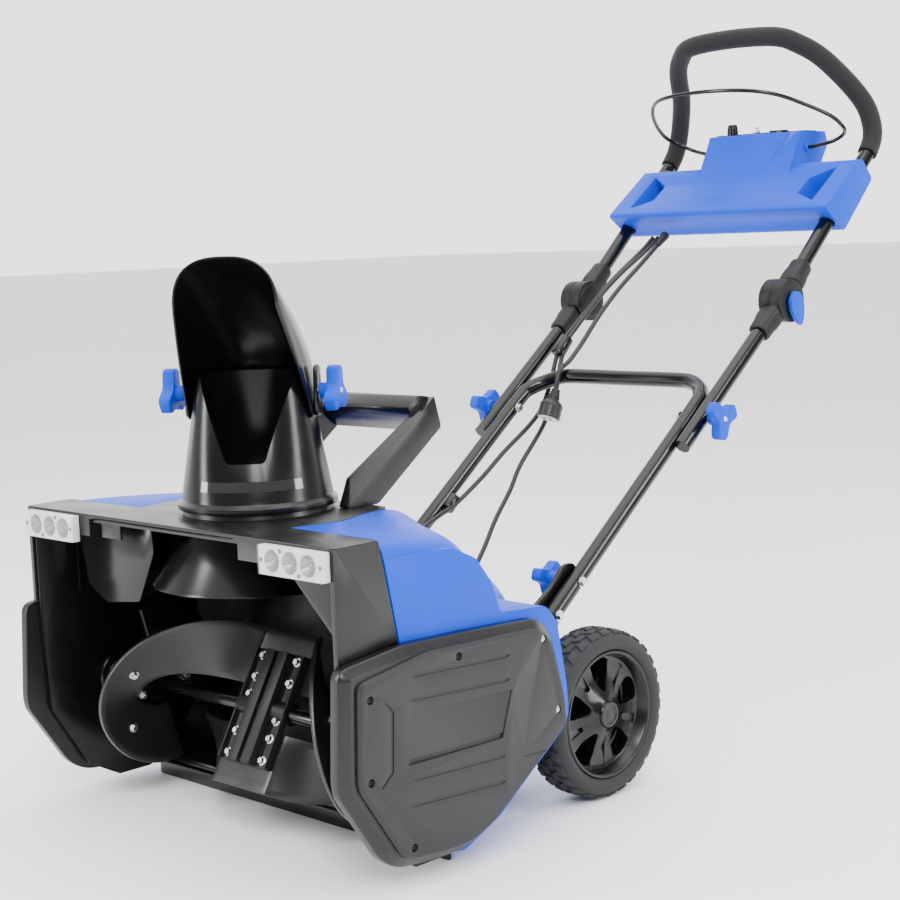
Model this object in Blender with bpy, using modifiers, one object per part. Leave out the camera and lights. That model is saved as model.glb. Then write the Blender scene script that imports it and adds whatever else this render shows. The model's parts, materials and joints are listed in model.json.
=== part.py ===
"""Single stage electric snowblower, modelled as separate working pieces.

Frame: +Z up, the machine faces -Y, +X is the operator's left, where the belt drive is. The origin is on the
ground below the middle of the machine. Lengths are in metres. Most places are written as (d, z), where d is the
distance behind the housing's front lip and z the height above the ground.
"""

import math

import bmesh
import bpy
from mathutils import Matrix, Vector

# Driving dimensions
FRONT = -0.5925
GAP = 0.0003
DECK_Z = 0.371
DECK_THICKNESS = 0.0052
HALF_WIDTH = 0.278
HOUSING_HALF_WIDTH = 0.272
WALL = 0.004
BODY_SKIN = 0.0048
COVER_DEPTH = 0.021

AUGER_AXIS = (0.115, 0.140)
AUGER_RADIUS = 0.094
AUGER_INNER_RADIUS = 0.024
AUGER_HALF_LENGTH = 0.205
AUGER_FLAT_HALF = 0.0465
AUGER_LEAN = math.radians(-30)
AUGER_SWEEP = math.radians(225)
AUGER_MIDDLE = 0.020
AUGER_ARM = math.radians(105)
PADDLE_THICKNESS = 0.006
SHAFT_RADIUS = 0.008
BEARING_RADIUS = 0.0117
PAN_RADIUS = 0.124

MOTOR_AXIS = (0.280, 0.205)
MOTOR_RADIUS = 0.034
BELT_X = 0.2865
BELT_WIDTH = 0.011
AUGER_PULLEY_RADIUS = 0.050
MOTOR_PULLEY_RADIUS = 0.015
BELT_THICKNESS = 0.004

WHEEL_AXIS = (0.439, 0.102)
WHEEL_RADIUS = 0.102
WHEEL_X = (0.213, 0.268)
RIM_RADIUS = 0.0775
AXLE_RADIUS = 0.006

CHUTE_AXIS_D = 0.1337
CHUTE_TURN = math.radians(33)
CHUTE_HOLE_RADIUS = 0.0815
CHUTE_FOOT_Z = 0.3773
CHUTE_TOP_Z = 0.528
CHUTE_WALL = 0.003
TILT_Z = 0.507

TUBE_RADIUS = 0.0108
TUBE_WALL = 0.0018
LOWER_TUBE_X = 0.1585
MIDDLE_TUBE_X = 0.181
TUBE_START = (0.4635, 0.209)
TUBE_SLOPE = 0.7657
FOLD_AXIS = (0.933, 0.5685)
FOLD_DRUM_RADIUS = 0.0300

CONSOLE_FOOT = (1.051, 0.674)
CONSOLE_ANGLE = math.radians(41.8)
CONSOLE_HALF_WIDTH = 0.197
BAIL_AXIS = (1.144, 0.786)
BAIL_RADIUS = 0.003
GRIP_RADIUS = 0.0143
CONTROL_D = 1.150
BUTTON_X = -0.050
BUTTON_RADIUS = 0.0085
ROCKER_X = 0.035
ROCKER_SIZE = (0.013, 0.007)

CABLE_RADIUS = 0.0034
CORD_RADIUS = 0.0036

BLUE = (0.06, 0.22, 0.86)
BLACK = (0.012, 0.012, 0.013)
CHARCOAL = (0.055, 0.056, 0.058)


# ---- materials and collections ----------------------------------------------------------------

def make_material(name, colour, roughness, metallic=0.0):
    """A plain surface of one colour."""
    material = bpy.data.materials.new(name)
    material.use_nodes = True
    shader = material.node_tree.nodes["Principled BSDF"]
    shader.inputs["Base Color"].default_value = (*colour, 1.0)
    shader.inputs["Roughness"].default_value = roughness
    shader.inputs["Metallic"].default_value = metallic
    material.diffuse_color = (*colour, 1.0)
    return material


def start_scene():
    """Empties the scene and makes the two collections."""
    for old in list(bpy.data.objects):
        bpy.data.objects.remove(old)
    for name in ("snowblower", "cutters"):
        collection = bpy.data.collections.new(name)
        bpy.context.scene.collection.children.link(collection)


def add_part(name, mesh, material, place=None):
    """Puts one mesh in the snowblower's collection."""
    part = bpy.data.objects.new(name, mesh)
    if place is not None:
        part.matrix_world = place
    mesh.materials.clear()
    mesh.materials.append(material)
    mesh.shade_smooth()
    mesh.set_sharp_from_angle(angle=math.radians(32))
    bpy.data.collections["snowblower"].objects.link(part)
    return part


def as_tool(tool):
    """Moves an object to the cutters, where it only shapes another one."""
    parts = bpy.data.collections["snowblower"]
    if tool.name in parts.objects:
        parts.objects.unlink(tool)
    bpy.data.collections["cutters"].objects.link(tool)
    tool.hide_render = True
    tool.display_type = "WIRE"
    return tool


def combine(part, tool, operation):
    """Joins a tool to a part or cuts it away."""
    step = part.modifiers.new(operation.lower(), "BOOLEAN")
    step.operation = operation
    step.solver = "EXACT"
    step.object = as_tool(tool)
    return part


def cut(part, *tools):
    for tool in tools:
        combine(part, tool, "DIFFERENCE")
    return part


def join(part, *tools):
    for tool in tools:
        combine(part, tool, "UNION")
    return part


def soften(part, width, segments=1):
    """Rounds the part's sharp edges."""
    bevel = part.modifiers.new("edges", "BEVEL")
    bevel.width = width
    bevel.segments = segments
    bevel.limit_method = "ANGLE"
    bevel.angle_limit = math.radians(38)
    return part


# ---- shapes -----------------------------------------------------------------------------------

def place(x, d, z):
    """The point at x, d behind the front lip and z above the ground."""
    return Vector((x, FRONT + d, z))


def frame(origin, x_axis, y_axis, z_axis):
    """The matrix that carries local axes to the three given directions."""
    rows = Matrix((x_axis, y_axis, z_axis)).transposed().to_4x4()
    return Matrix.Translation(origin) @ rows


X, Y, Z = Vector((1, 0, 0)), Vector((0, 1, 0)), Vector((0, 0, 1))


def welded(mesh, distance=0.00001):
    """Closes the loose caps of a mesh that comes from a curve."""
    work = bmesh.new()
    work.from_mesh(mesh)
    bmesh.ops.remove_doubles(work, verts=work.verts, dist=distance)
    bmesh.ops.recalc_face_normals(work, faces=work.faces)
    work.to_mesh(mesh)
    work.free()
    return mesh


def plate(name, outline, thickness, matrix, material):
    """A flat outline given in the matrix's XY plane, as thick as stated, centred on that plane."""
    curve = bpy.data.curves.new(name, "CURVE")
    curve.dimensions = "2D"
    curve.fill_mode = "BOTH"
    curve.extrude = thickness / 2
    line = curve.splines.new("POLY")
    line.points.add(len(outline) - 1)
    for point, (u, v) in zip(line.points, outline):
        point.co = (u, v, 0, 1)
    line.use_cyclic_u = True
    guide = bpy.data.objects.new(name + "_outline", curve)
    bpy.context.scene.collection.objects.link(guide)
    graph = bpy.context.evaluated_depsgraph_get()
    mesh = bpy.data.meshes.new_from_object(guide.evaluated_get(graph))
    bpy.data.objects.remove(guide)
    return add_part(name, welded(mesh), material, matrix)


def side_plate(name, outline, x0, x1, material):
    """An outline in (d, z) that reaches from x0 to x1."""
    matrix = frame(Vector(((x0 + x1) / 2, FRONT, 0)), Y, Z, X)
    return plate(name, outline, abs(x1 - x0), matrix, material)


def level_plate(name, outline, z0, z1, material):
    """An outline in (x, d) that reaches from z0 to z1."""
    matrix = frame(Vector((0, FRONT, (z0 + z1) / 2)), X, Y, Z)
    return plate(name, outline, abs(z1 - z0), matrix, material)


def box(name, low, high, material):
    """A box between two corners given as (x, d, z)."""
    low, high = place(*low), place(*high)
    work = bmesh.new()
    size = Matrix.Diagonal((*(high - low), 1))
    bmesh.ops.create_cube(work, size=1, matrix=Matrix.Translation((low + high) / 2) @ size)
    mesh = bpy.data.meshes.new(name)
    work.to_mesh(mesh)
    work.free()
    return add_part(name, mesh, material)


def cylinder(name, radius, start, end, material, radius_end=None, segments=32):
    """A round bar or cone between two world points."""
    axis = end - start
    turn = axis.to_track_quat("Z", "Y").to_matrix().to_4x4()
    work = bmesh.new()
    bmesh.ops.create_cone(
        work, cap_ends=True, segments=segments, radius1=radius,
        radius2=radius if radius_end is None else radius_end, depth=axis.length,
    )
    mesh = bpy.data.meshes.new(name)
    work.to_mesh(mesh)
    work.free()
    return add_part(name, mesh, material, Matrix.Translation((start + end) / 2) @ turn)


def cross_bar(name, radius, x0, x1, axis, material, segments=32):
    """A round bar along X about an axis given as (d, z)."""
    return cylinder(name, radius, place(x0, *axis), place(x1, *axis), material, segments=segments)


def turned(name, profile, matrix, material, steps=32):
    """A closed (radius, height) profile turned about the matrix's Z axis, outer side top to bottom."""
    work = bmesh.new()
    points = [work.verts.new((radius, 0, height)) for radius, height in profile]
    for first, second in zip(points, points[1:] + points[:1]):
        work.edges.new((first, second))
    mesh = bpy.data.meshes.new(name)
    work.to_mesh(mesh)
    work.free()
    part = add_part(name, mesh, material, matrix)
    screw = part.modifiers.new("turn", "SCREW")
    screw.steps = steps
    screw.render_steps = steps
    screw.use_merge_vertices = True
    screw.merge_threshold = 0.00001
    return part


def ring_profile(inner, outer, bottom, top):
    return [(inner, top), (outer, top), (outer, bottom), (inner, bottom)]


def along_x(x, axis):
    """Local Z runs along +X at an axis given as (d, z)."""
    return frame(place(x, *axis), Y, Z, X)


def smooth_route(points, spacing):
    """Points along a smooth curve through the given ones, about the stated spacing apart."""
    count = len(points)
    found = []
    for i in range(count - 1):
        before = points[max(i - 1, 0)]
        first = points[i]
        second = points[i + 1]
        after = points[min(i + 2, count - 1)]
        steps = max(2, round((second - first).length / spacing))
        for k in range(steps):
            t = k / steps
            pull_a = (second - before) * 0.5
            pull_b = (after - first) * 0.5
            found.append(
                first * (2 * t**3 - 3 * t**2 + 1) + pull_a * (t**3 - 2 * t**2 + t)
                + second * (-2 * t**3 + 3 * t**2) + pull_b * (t**3 - t**2)
            )
    found.append(points[-1])
    return found


def tube(name, points, radius, material, resolution=2, as_mesh=False):
    """A round tube along world points, with closed ends."""
    curve = bpy.data.curves.new(name, "CURVE")
    curve.dimensions = "3D"
    curve.bevel_depth = radius
    curve.bevel_resolution = resolution
    curve.use_fill_caps = True
    line = curve.splines.new("POLY")
    line.points.add(len(points) - 1)
    for knot, point in zip(line.points, points):
        knot.co = (*point, 1)
    if not as_mesh:
        curve.materials.append(material)
        part = bpy.data.objects.new(name, curve)
        bpy.data.collections["snowblower"].objects.link(part)
        return part
    guide = bpy.data.objects.new(name + "_path", curve)
    bpy.context.scene.collection.objects.link(guide)
    graph = bpy.context.evaluated_depsgraph_get()
    mesh = bpy.data.meshes.new_from_object(guide.evaluated_get(graph))
    bpy.data.objects.remove(guide)
    return add_part(name, welded(mesh), material)


def hollow_tube(name, points, material):
    """A round steel tube along world points, with open ends."""
    part = tube(name, points, TUBE_RADIUS, material, as_mesh=True)
    before = points[0] + (points[0] - points[1]).normalized() * 0.01
    after = points[-1] + (points[-1] - points[-2]).normalized() * 0.01
    return cut(part, tube(name + "_bore", [before, *points, after], TUBE_RADIUS - TUBE_WALL, material, as_mesh=True))


def arc(centre, radius, start, end, steps):
    """Points on an arc, angles in degrees."""
    found = []
    for k in range(steps + 1):
        angle = math.radians(start + (end - start) * k / steps)
        found.append((centre[0] + radius * math.cos(angle), centre[1] + radius * math.sin(angle)))
    return found


def mirrored(outline):
    """A half outline in (x, d), from front to back, with its mirror image added."""
    return outline + [(-x, d) for x, d in reversed(outline)]


def circle(radius, steps=18):
    return lobed(radius, 0.0, steps=steps)


def stacked(name, rings, matrix, material):
    """A closed skin over outlines of equal count, each at its height along the matrix's Z axis, top first."""
    work = bmesh.new()
    rows = [[work.verts.new((u, v, height)) for u, v in outline] for outline, height in rings]
    for first, second in zip(rows, rows[1:]):
        for k in range(len(first)):
            n = (k + 1) % len(first)
            work.faces.new((first[k], second[k], second[n], first[n]))
    work.faces.new(rows[0])
    work.faces.new(rows[-1])
    bmesh.ops.recalc_face_normals(work, faces=work.faces)
    mesh = bpy.data.meshes.new(name)
    work.to_mesh(mesh)
    work.free()
    return add_part(name, mesh, material, matrix)


def lobed(radius, depth, lobes=3, steps=18, turn=0.0):
    """The outline of a hand knob."""
    found = []
    for k in range(steps):
        angle = 2 * math.pi * k / steps
        reach = radius * (1 - depth + depth * math.cos(lobes * angle))
        found.append((reach * math.cos(angle + turn), reach * math.sin(angle + turn)))
    return found


# ---- housing, deck and body -------------------------------------------------------------------

TONGUE = [(0.135, 0.0640), (0.150, 0.128), (0.131, 0.190), (0.119, 0.225)]
BODY_SIDE = [
    (0.0580, 0.3495), (0.0800, 0.257), (0.0800, 0.030), (0.170, 0.0125), (0.204, 0.026), (0.228, 0.036),
    (0.338, 0.110), (0.349, 0.126), (0.347, 0.160), (0.334, 0.236), (0.315, 0.258), (0.240, 0.264),
    (0.228, 0.300), (0.205, 0.330), (0.170, 0.346), (0.125, 0.3495),
]
COVER_SIDE = [
    (-0.011, 0.250), (0.076, 0.2600), (0.180, 0.2565), (0.287, 0.2505), (0.307, 0.230), (0.328, 0.160),
    (0.331, 0.126), (0.320, 0.115), (0.216, 0.044), (0.196, 0.032), (0.160, 0.020), (0.121, 0.021),
    (0.064, 0.026), (0.049, 0.032), (0.034, 0.044), (-0.016, 0.120), (-0.018, 0.135),
]


def hump(name, inset, material):
    """The raised middle of the body, lofted from front to back over falling, narrowing sections."""
    stations = [
        (0.0560, 0.3704, 0.262, 0.2765, 0.3585), (0.120, 0.3704, 0.236, 0.2760, 0.3515),
        (0.190, 0.3704, 0.172, 0.2680, 0.3380), (0.235, 0.3650, 0.128, 0.2500, 0.3000),
        (0.290, 0.3400, 0.105, 0.2220, 0.2620), (0.345, 0.3060, 0.090, 0.1880, 0.2450),
        (0.3945, 0.2690, 0.070, 0.1500, 0.2200),
    ]
    floor = 0.205
    work = bmesh.new()
    rings = []
    for d, top, flat, base, shoulder in stations:
        top, flat, base, shoulder = top - inset, flat - inset, base - inset, shoulder - inset
        half = [(base, floor), (base, shoulder)]
        for k in (1, 2, 3):
            t = k / 4
            bulge = 0.16 * math.sin(math.pi * t)
            half.append((base + (flat - base) * (t - bulge * (1 - t)),
                         shoulder + (top - shoulder) * (t + bulge * (1 - t))))
        half.append((flat, top))
        section = half + [(-x, z) for x, z in reversed(half)]
        rings.append([work.verts.new(place(x, d, z)) for x, z in section])
    for first, second in zip(rings, rings[1:]):
        for k in range(len(first)):
            n = (k + 1) % len(first)
            work.faces.new((first[k], first[n], second[n], second[k]))
    work.faces.new(rings[0])
    work.faces.new(rings[-1])
    bmesh.ops.recalc_face_normals(work, faces=work.faces)
    bmesh.ops.triangulate(work, faces=work.faces)
    mesh = bpy.data.meshes.new(name)
    work.to_mesh(mesh)
    work.free()
    return add_part(name, mesh, material)


def below_hump(name, outline, half_width, inset, material):
    """A side outline as wide as stated, with the corners that would stand out of the hump taken off."""
    part = side_plate(name, outline, -half_width, half_width, material)
    room = hump(name + "_room", inset, material)
    join(room, box(name + "_low", (-0.32, -0.15, -0.1), (0.32, 0.45, 0.268 - inset), material),
         box(name + "_front", (-0.31, -0.14, -0.09), (0.31, 0.0645 - (inset - 0.005), 0.45), material))
    return combine(part, room, "INTERSECT")


def auger_housing(material):
    """The black shell round the auger: side walls, top and a back that follows the auger."""
    outside = [(0.003, 0.240), (0.003, 0.3655), (0.243, 0.3655)]
    outside += arc(AUGER_AXIS, PAN_RADIUS + WALL, 0, -66, 8)
    outside += [(0.150, 0.012), (0.102, 0.012), (0.058, 0.036), (0.010, 0.115)]
    inside = [(-0.05, 0.3615), (0.239, 0.3615)] + arc(AUGER_AXIS, PAN_RADIUS, 0, -66, 8)
    inside += [(0.150, -0.02), (-0.05, -0.02)]
    part = below_hump("auger_housing", outside, HOUSING_HALF_WIDTH, 0.0058, material)
    inner = HOUSING_HALF_WIDTH - WALL
    hole = cylinder("chute_opening", CHUTE_HOLE_RADIUS, place(0, CHUTE_AXIS_D, 0.35),
                    place(0, CHUTE_AXIS_D, 0.40), material, segments=40)
    cut(part, below_hump("auger_space", inside, inner, 0.0098, material), hole,
        cross_bar("bearing_holes", BEARING_RADIUS + GAP, -0.3, 0.3, AUGER_AXIS, material, 24))
    return part


def front_cowl(material):
    """The deck strip with its side flaps, its tongue and the raised ring that carries the chute."""
    low = DECK_Z - DECK_THICKNESS
    deck = mirrored([(HALF_WIDTH, 0.0), (HALF_WIDTH, 0.062)] + TONGUE)
    part = level_plate("front_cowl", deck, low, DECK_Z, material)
    flap = [(0.0, DECK_Z - 0.001), (0.062, DECK_Z - 0.001), (0.0835, 0.2615), (0.0, 0.2515)]
    for side in (-1, 1):
        near, far = side * (HOUSING_HALF_WIDTH + GAP), side * HALF_WIDTH
        join(part, side_plate("flap", flap, near, far, material))
    join(part, box("front_lip", (-HALF_WIDTH + 0.002, 0.0, 0.352), (HALF_WIDTH - 0.002, 0.0027, 0.368), material))
    ring = cylinder("seat", 0.0905, place(0, CHUTE_AXIS_D, low + 0.001),
                    place(0, CHUTE_AXIS_D, CHUTE_FOOT_Z - GAP), material, segments=40)
    join(part, ring)
    cut(part, cylinder("chute_bore", CHUTE_HOLE_RADIUS, place(0, CHUTE_AXIS_D, 0.34),
                       place(0, CHUTE_AXIS_D, 0.40), material, segments=40))
    return part


def body_shell(material):
    """The blue shell over the back of the housing, the motor and the axle."""
    width = HALF_WIDTH - 0.0005
    pocket_width = HOUSING_HALF_WIDTH + 0.0007
    part = side_plate("body_shell", BODY_SIDE, -width, width, material)
    rear = [
        (0.28, 0.06), (0.28, 0.245), (0.347, 0.248), (0.3900, 0.2340), (0.415, 0.210), (0.415, 0.120),
        (0.398, 0.070), (0.33, 0.050),
    ]
    ear = [(0.39, 0.15), (0.445, 0.125), (0.456, 0.102), (0.445, 0.084), (0.38, 0.07)]
    join(part, hump("hump", 0.0, material), side_plate("rear_block", rear, -0.19, 0.19, material))
    for side in (-1, 1):
        join(part, side_plate("axle_ear", ear, side * 0.178, side * 0.188, material))
    pocket = [(-0.1, 0.3659), (0.2435, 0.3659)] + arc(AUGER_AXIS, PAN_RADIUS + WALL + 0.0005, 0, -66, 8)
    pocket += [(0.1675, -0.05), (-0.1, -0.05)]
    front_space = [(-0.1, 0.42), (0.0653, 0.42), (0.0653, 0.3705), (0.0871, 0.257), (0.0871, -0.05), (-0.1, -0.05)]
    side_space = [
        (0.235, 0.20), (0.235, 0.2550), (0.310, 0.2530), (0.329, 0.2330), (0.338, 0.190), (0.340, 0.162),
        (0.335, 0.140), (0.330, 0.120), (0.327, 0.1085), (0.226, 0.0415), (0.200, 0.0310), (0.180, 0.0300),
    ]
    rear_space = [
        (0.25, 0.10), (0.25, 0.246), (0.342, 0.2455), (0.389, 0.2310), (0.411, 0.208), (0.411, 0.121),
        (0.395, 0.0745), (0.33, 0.055),
    ]
    tongue = [(x + 0.0006, d) for x, d in TONGUE]
    tongue = [(tongue[0][0], 0.05)] + tongue[:-1] + [(tongue[-1][0], 0.2256)]
    cut(
        part,
        side_plate("front_space", front_space, -0.3, 0.3, material),
        below_hump("housing_pocket", pocket, pocket_width, 0.005, material),
        side_plate("side_space", side_space, -pocket_width, pocket_width, material),
        combine(hump("hump_space", 0.0048, material),
                box("hump_limits", (-0.3, 0.2440, 0.1), (0.3, 0.3870, 0.45), material), "INTERSECT"),
        side_plate("rear_space", rear_space, -0.178, 0.178, material),
        level_plate("tongue_space", mirrored(tongue), 0.3600, 0.39, material),
        cross_bar("bearing_clearance", BEARING_RADIUS + GAP, -0.3, 0.3, AUGER_AXIS, material, 24),
        cross_bar("motor_shaft_hole", 0.0075, 0.2, 0.3, MOTOR_AXIS, material, 20),
        cross_bar("axle_hole", AXLE_RADIUS + GAP, -0.2, 0.2, WHEEL_AXIS, material, 20),
        cross_bar("left_wheel_arch", WHEEL_RADIUS + 0.004, 0.1905, pocket_width, WHEEL_AXIS, material, 48),
        cross_bar("right_wheel_arch", WHEEL_RADIUS + 0.004, -0.1905, -pocket_width, WHEEL_AXIS, material, 48),
    )
    return part


def side_cover(name, side, material):
    """A shallow tray on the side, with a raised panel; the one at +X covers the belt."""
    root = side * (HALF_WIDTH + GAP)
    face = side * (HALF_WIDTH + COVER_DEPTH)
    part = side_plate(name, COVER_SIDE, root, face, material)
    centre_d = sum(d for d, z in COVER_SIDE) / len(COVER_SIDE)
    centre_z = sum(z for d, z in COVER_SIDE) / len(COVER_SIDE)

    def shrunk(scale_d, scale_z):
        return [(centre_d + (d - centre_d) * scale_d, centre_z + (z - centre_z) * scale_z)
                for d, z in COVER_SIDE]

    soften(part, 0.004, 2)
    join(part, side_plate("panel", shrunk(0.87, 0.84), side * 0.290, side * 0.3035, material))
    cut(part, side_plate("tray", shrunk(0.965, 0.955), side * 0.27, side * 0.2955, material))
    return part


def scraper_bar(material):
    return box("scraper_bar", (-0.262, 0.1605, 0.0), (0.262, 0.1660, 0.0182), material)


def chute_funnel(material):
    """The skirt under the deck that leads snow into the chute, cut off where it meets the back wall."""
    top, bottom = 0.3566, 0.291
    profile = [(0.0795, top), (0.0825, top), (0.1265, bottom), (0.1235, bottom)]
    part = turned("chute_funnel", profile, Matrix.Translation(place(0, CHUTE_AXIS_D, 0)), material, 40)
    cut(part, box("back_trim", (-0.2, 0.2375, 0.2), (0.2, 0.30, 0.40), material))
    return part


def headlight(name, side, body_material, lens_material):
    """A lamp block with three reflector cups, and the clear lens in front of it."""
    x0, x1 = sorted((side * 0.166, side * 0.2755))
    part = box(name, (x0, -0.0105, 0.3355), (x1, -GAP, 0.3690), body_material)
    for x in (0.192, 0.223, 0.254):
        cup = cylinder("cup", 0.0042, place(side * x, -0.0035, 0.3525), place(side * x, -0.0125, 0.3525),
                       body_material, radius_end=0.0150, segments=20)
        cut(part, cup)
    lens = box(name.replace("headlight", "headlight_lens"), (x0, -0.0123, 0.3355),
               (x1, -0.0105 - GAP, 0.3690), lens_material)
    return part, lens


def carry_handle(material):
    """A square section lifting handle that leans back over the motor."""
    leg = [(0.185, 0.3713), (0.240, 0.3713), (0.331, 0.4435), (0.335, 0.470), (0.318, 0.480), (0.185, 0.391)]
    bar = [(0.300, 0.4745), (0.318, 0.489), (0.337, 0.486), (0.340, 0.4540), (0.331, 0.4425), (0.314, 0.4560)]
    part = side_plate("carry_handle", bar, -0.0976, 0.0976, material)
    for side in (-1, 1):
        join(part, side_plate("leg", leg, side * 0.0800, side * 0.0974, material))
    return part


# ---- auger drive ------------------------------------------------------------------------------

def paddle(name, turn, material):
    """A rubber blade: radial across the middle, sweeping round the shaft into a flat flange at each end."""
    flat_share = 0.12
    columns, rows = 50, 3
    centre = place(AUGER_MIDDLE, *AUGER_AXIS)
    work = bmesh.new()
    grid = []
    for i in range(columns + 1):
        p = 2 * i / columns - 1
        side = -1 if p < 0 else 1
        q = max(0.0, (abs(p) - flat_share) / (1 - flat_share))
        if q == 0.0:
            x = AUGER_FLAT_HALF * p / flat_share
        else:
            run = math.sin(math.pi / 2 * min(1.0, q / 0.667))
            x = side * (AUGER_FLAT_HALF + (AUGER_HALF_LENGTH - AUGER_FLAT_HALF) * run)
        angle = turn + AUGER_SWEEP * q
        inner = AUGER_INNER_RADIUS + 0.012 * math.sin(math.pi * q) ** 2
        outer = AUGER_RADIUS + 0.006 * q * q
        column = []
        for k in range(rows + 1):
            reach = inner + (outer - inner) * k / rows
            column.append(work.verts.new(centre + Vector((x, -reach * math.sin(angle), reach * math.cos(angle)))))
        grid.append(column)
    for first, second in zip(grid, grid[1:]):
        for k in range(rows):
            work.faces.new((first[k], first[k + 1], second[k + 1], second[k]))
    mesh = bpy.data.meshes.new(name)
    work.to_mesh(mesh)
    work.free()
    part = add_part(name, mesh, material)
    skin = part.modifiers.new("thickness", "SOLIDIFY")
    skin.thickness = PADDLE_THICKNESS
    skin.offset = 0
    return part


def auger_frame():
    """Local axes of the auger's centre: along the blade's reach, and square to its face."""
    reach = Vector((0, -math.sin(AUGER_LEAN), math.cos(AUGER_LEAN)))
    square = X.cross(reach)
    return reach, square


def paddle_bracket(material):
    """The steel plate and hub that clamp both blades to the middle of the shaft."""
    reach, square = auger_frame()
    centre = place(AUGER_MIDDLE, *AUGER_AXIS)
    near = PADDLE_THICKNESS / 2 + GAP
    outline = [(-0.043, -0.068), (0.043, -0.068), (0.043, 0.068), (-0.043, 0.068)]
    middle = centre + square * (near + 0.0015)
    part = plate("paddle_bracket", outline, 0.003, frame(middle, X, reach, X.cross(reach)), material)
    hub = cylinder("hub", 0.0145, centre - X * 0.043, centre + X * 0.043, material, segments=24)
    join(part, hub)
    cut(part, cylinder("hub_bore", SHAFT_RADIUS + GAP, centre - X * 0.06, centre + X * 0.06, material, segments=24))
    return part


def end_plate(name, side, material):
    """A steel arm at the auger's end that carries a flange of each blade."""
    reach = Vector((0, -math.sin(AUGER_ARM), math.cos(AUGER_ARM)))
    across = X.cross(reach)
    x = AUGER_MIDDLE + side * (AUGER_HALF_LENGTH + PADDLE_THICKNESS / 2 + GAP + 0.0015)
    centre = place(x, *AUGER_AXIS)
    half = [(0.024, -0.030), (0.028, -0.068), (0.016, -0.086)]
    outline = half + [(-u, v) for u, v in reversed(half)]
    outline += [(-u, -v) for u, v in half] + [(u, -v) for u, v in reversed(half)]
    part = plate(name, outline, 0.003, frame(centre, across, reach, across.cross(reach)), material)
    cut(part, cylinder("arm_bore", SHAFT_RADIUS + GAP, centre - X * 0.02, centre + X * 0.02, material, segments=24))
    return part


def bearing(name, side, material):
    """A flanged bush that holds the auger shaft in the housing wall."""
    profile = [(SHAFT_RADIUS + GAP, 0.0), (BEARING_RADIUS, 0.0), (BEARING_RADIUS, -0.0105), (0.020, -0.0105),
               (0.020, -0.018), (SHAFT_RADIUS + GAP, -0.018)]
    axis = X * side
    matrix = frame(place(side * 0.2775, *AUGER_AXIS), Y * side, Z, axis)
    return turned(name, profile, matrix, material, 24)


def pulley(name, radius, bore, matrix, material, steps):
    """A flat belt wheel with a rim on each side."""
    half = BELT_WIDTH / 2 - GAP
    lip = radius + 0.0025
    profile = [(bore, half + 0.0020), (lip, half + 0.0020), (lip, half + 0.0006), (radius, half),
               (radius, -half), (lip, -half - 0.0006), (lip, -half - 0.0020), (bore, -half - 0.0020)]
    return turned(name, profile, matrix, material, steps)


def drive_belt(material):
    """The belt round the motor pulley and the auger pulley."""
    start, end = Vector(MOTOR_AXIS), Vector(AUGER_AXIS)
    span = start - end
    lean = math.degrees(math.atan2(span.y, span.x))
    opening = math.degrees(math.asin((AUGER_PULLEY_RADIUS - MOTOR_PULLEY_RADIUS) / span.length))

    def loop(extra):
        large, small = AUGER_PULLEY_RADIUS + extra, MOTOR_PULLEY_RADIUS + extra
        back = arc(AUGER_AXIS, large, lean + 90 - opening, lean + 270 + opening, 20)
        front = arc(MOTOR_AXIS, small, lean - 90 + opening, lean + 90 - opening, 12)
        return back + front

    half = BELT_WIDTH / 2 - 0.0012
    part = side_plate("drive_belt", loop(0.0004 + BELT_THICKNESS), BELT_X - half, BELT_X + half, material)
    cut(part, side_plate("belt_space", loop(0.0004), BELT_X - 0.02, BELT_X + 0.02, material))
    return part


def motor(material):
    """The electric motor, with its narrower end bells."""
    profile = [(0.0085, 0.130), (0.022, 0.130), (0.022, 0.120), (0.031, 0.114), (MOTOR_RADIUS, 0.106),
               (MOTOR_RADIUS, -0.090), (0.031, -0.100), (0.020, -0.104), (0.0085, -0.104)]
    return turned("motor", profile, along_x(0.105, MOTOR_AXIS), material, 28)


def motor_pulley(material):
    """The motor's shaft with the small pulley on its end."""
    part = cross_bar("motor_pulley", 0.0055, 0.02, 0.2945, MOTOR_AXIS, material, 20)
    join(part, pulley("small_pulley", MOTOR_PULLEY_RADIUS, 0.002, along_x(BELT_X, MOTOR_AXIS), material, 24))
    return part


# ---- wheels -----------------------------------------------------------------------------------

def wheel(side, name, tyre_material, rim_material):
    """A ribbed tyre on a five spoke rim."""
    inner, outer = WHEEL_X
    half = (outer - inner) / 2
    matrix = frame(place(side * (inner + half), *WHEEL_AXIS), Y * side, Z, X * side)
    seat = RIM_RADIUS + GAP
    tyre = turned(
        name + "_tyre",
        [(seat, half - 0.004), (0.088, half), (0.096, half - 0.001), (WHEEL_RADIUS, half - 0.008),
         (WHEEL_RADIUS, -half + 0.008), (0.096, -half + 0.001), (0.088, -half), (seat, -half + 0.004)],
        matrix, tyre_material, 40)
    bore = AXLE_RADIUS + GAP
    rim = turned(
        name + "_rim",
        [(bore, 0.021), (0.017, 0.021), (0.019, 0.010), (0.068, 0.006), (0.0715, half - 0.005),
         (RIM_RADIUS, half - 0.004), (RIM_RADIUS, -half + 0.004), (0.0715, -half + 0.005), (0.068, 0.000),
         (0.019, 0.002), (0.017, -0.016), (bore, -0.016)],
        matrix, rim_material, 30)
    window = [(0.026, -0.004), (0.026, 0.004), (0.045, 0.0125), (0.062, 0.015), (0.066, 0.0), (0.062, -0.015),
              (0.045, -0.0125)]
    for k in range(5):
        turn = Matrix.Rotation(2 * math.pi * (k + 0.25) / 5, 4, "Z")
        cut(rim, plate("window", window, 0.05, matrix @ turn, rim_material))
    return tyre, rim


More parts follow.
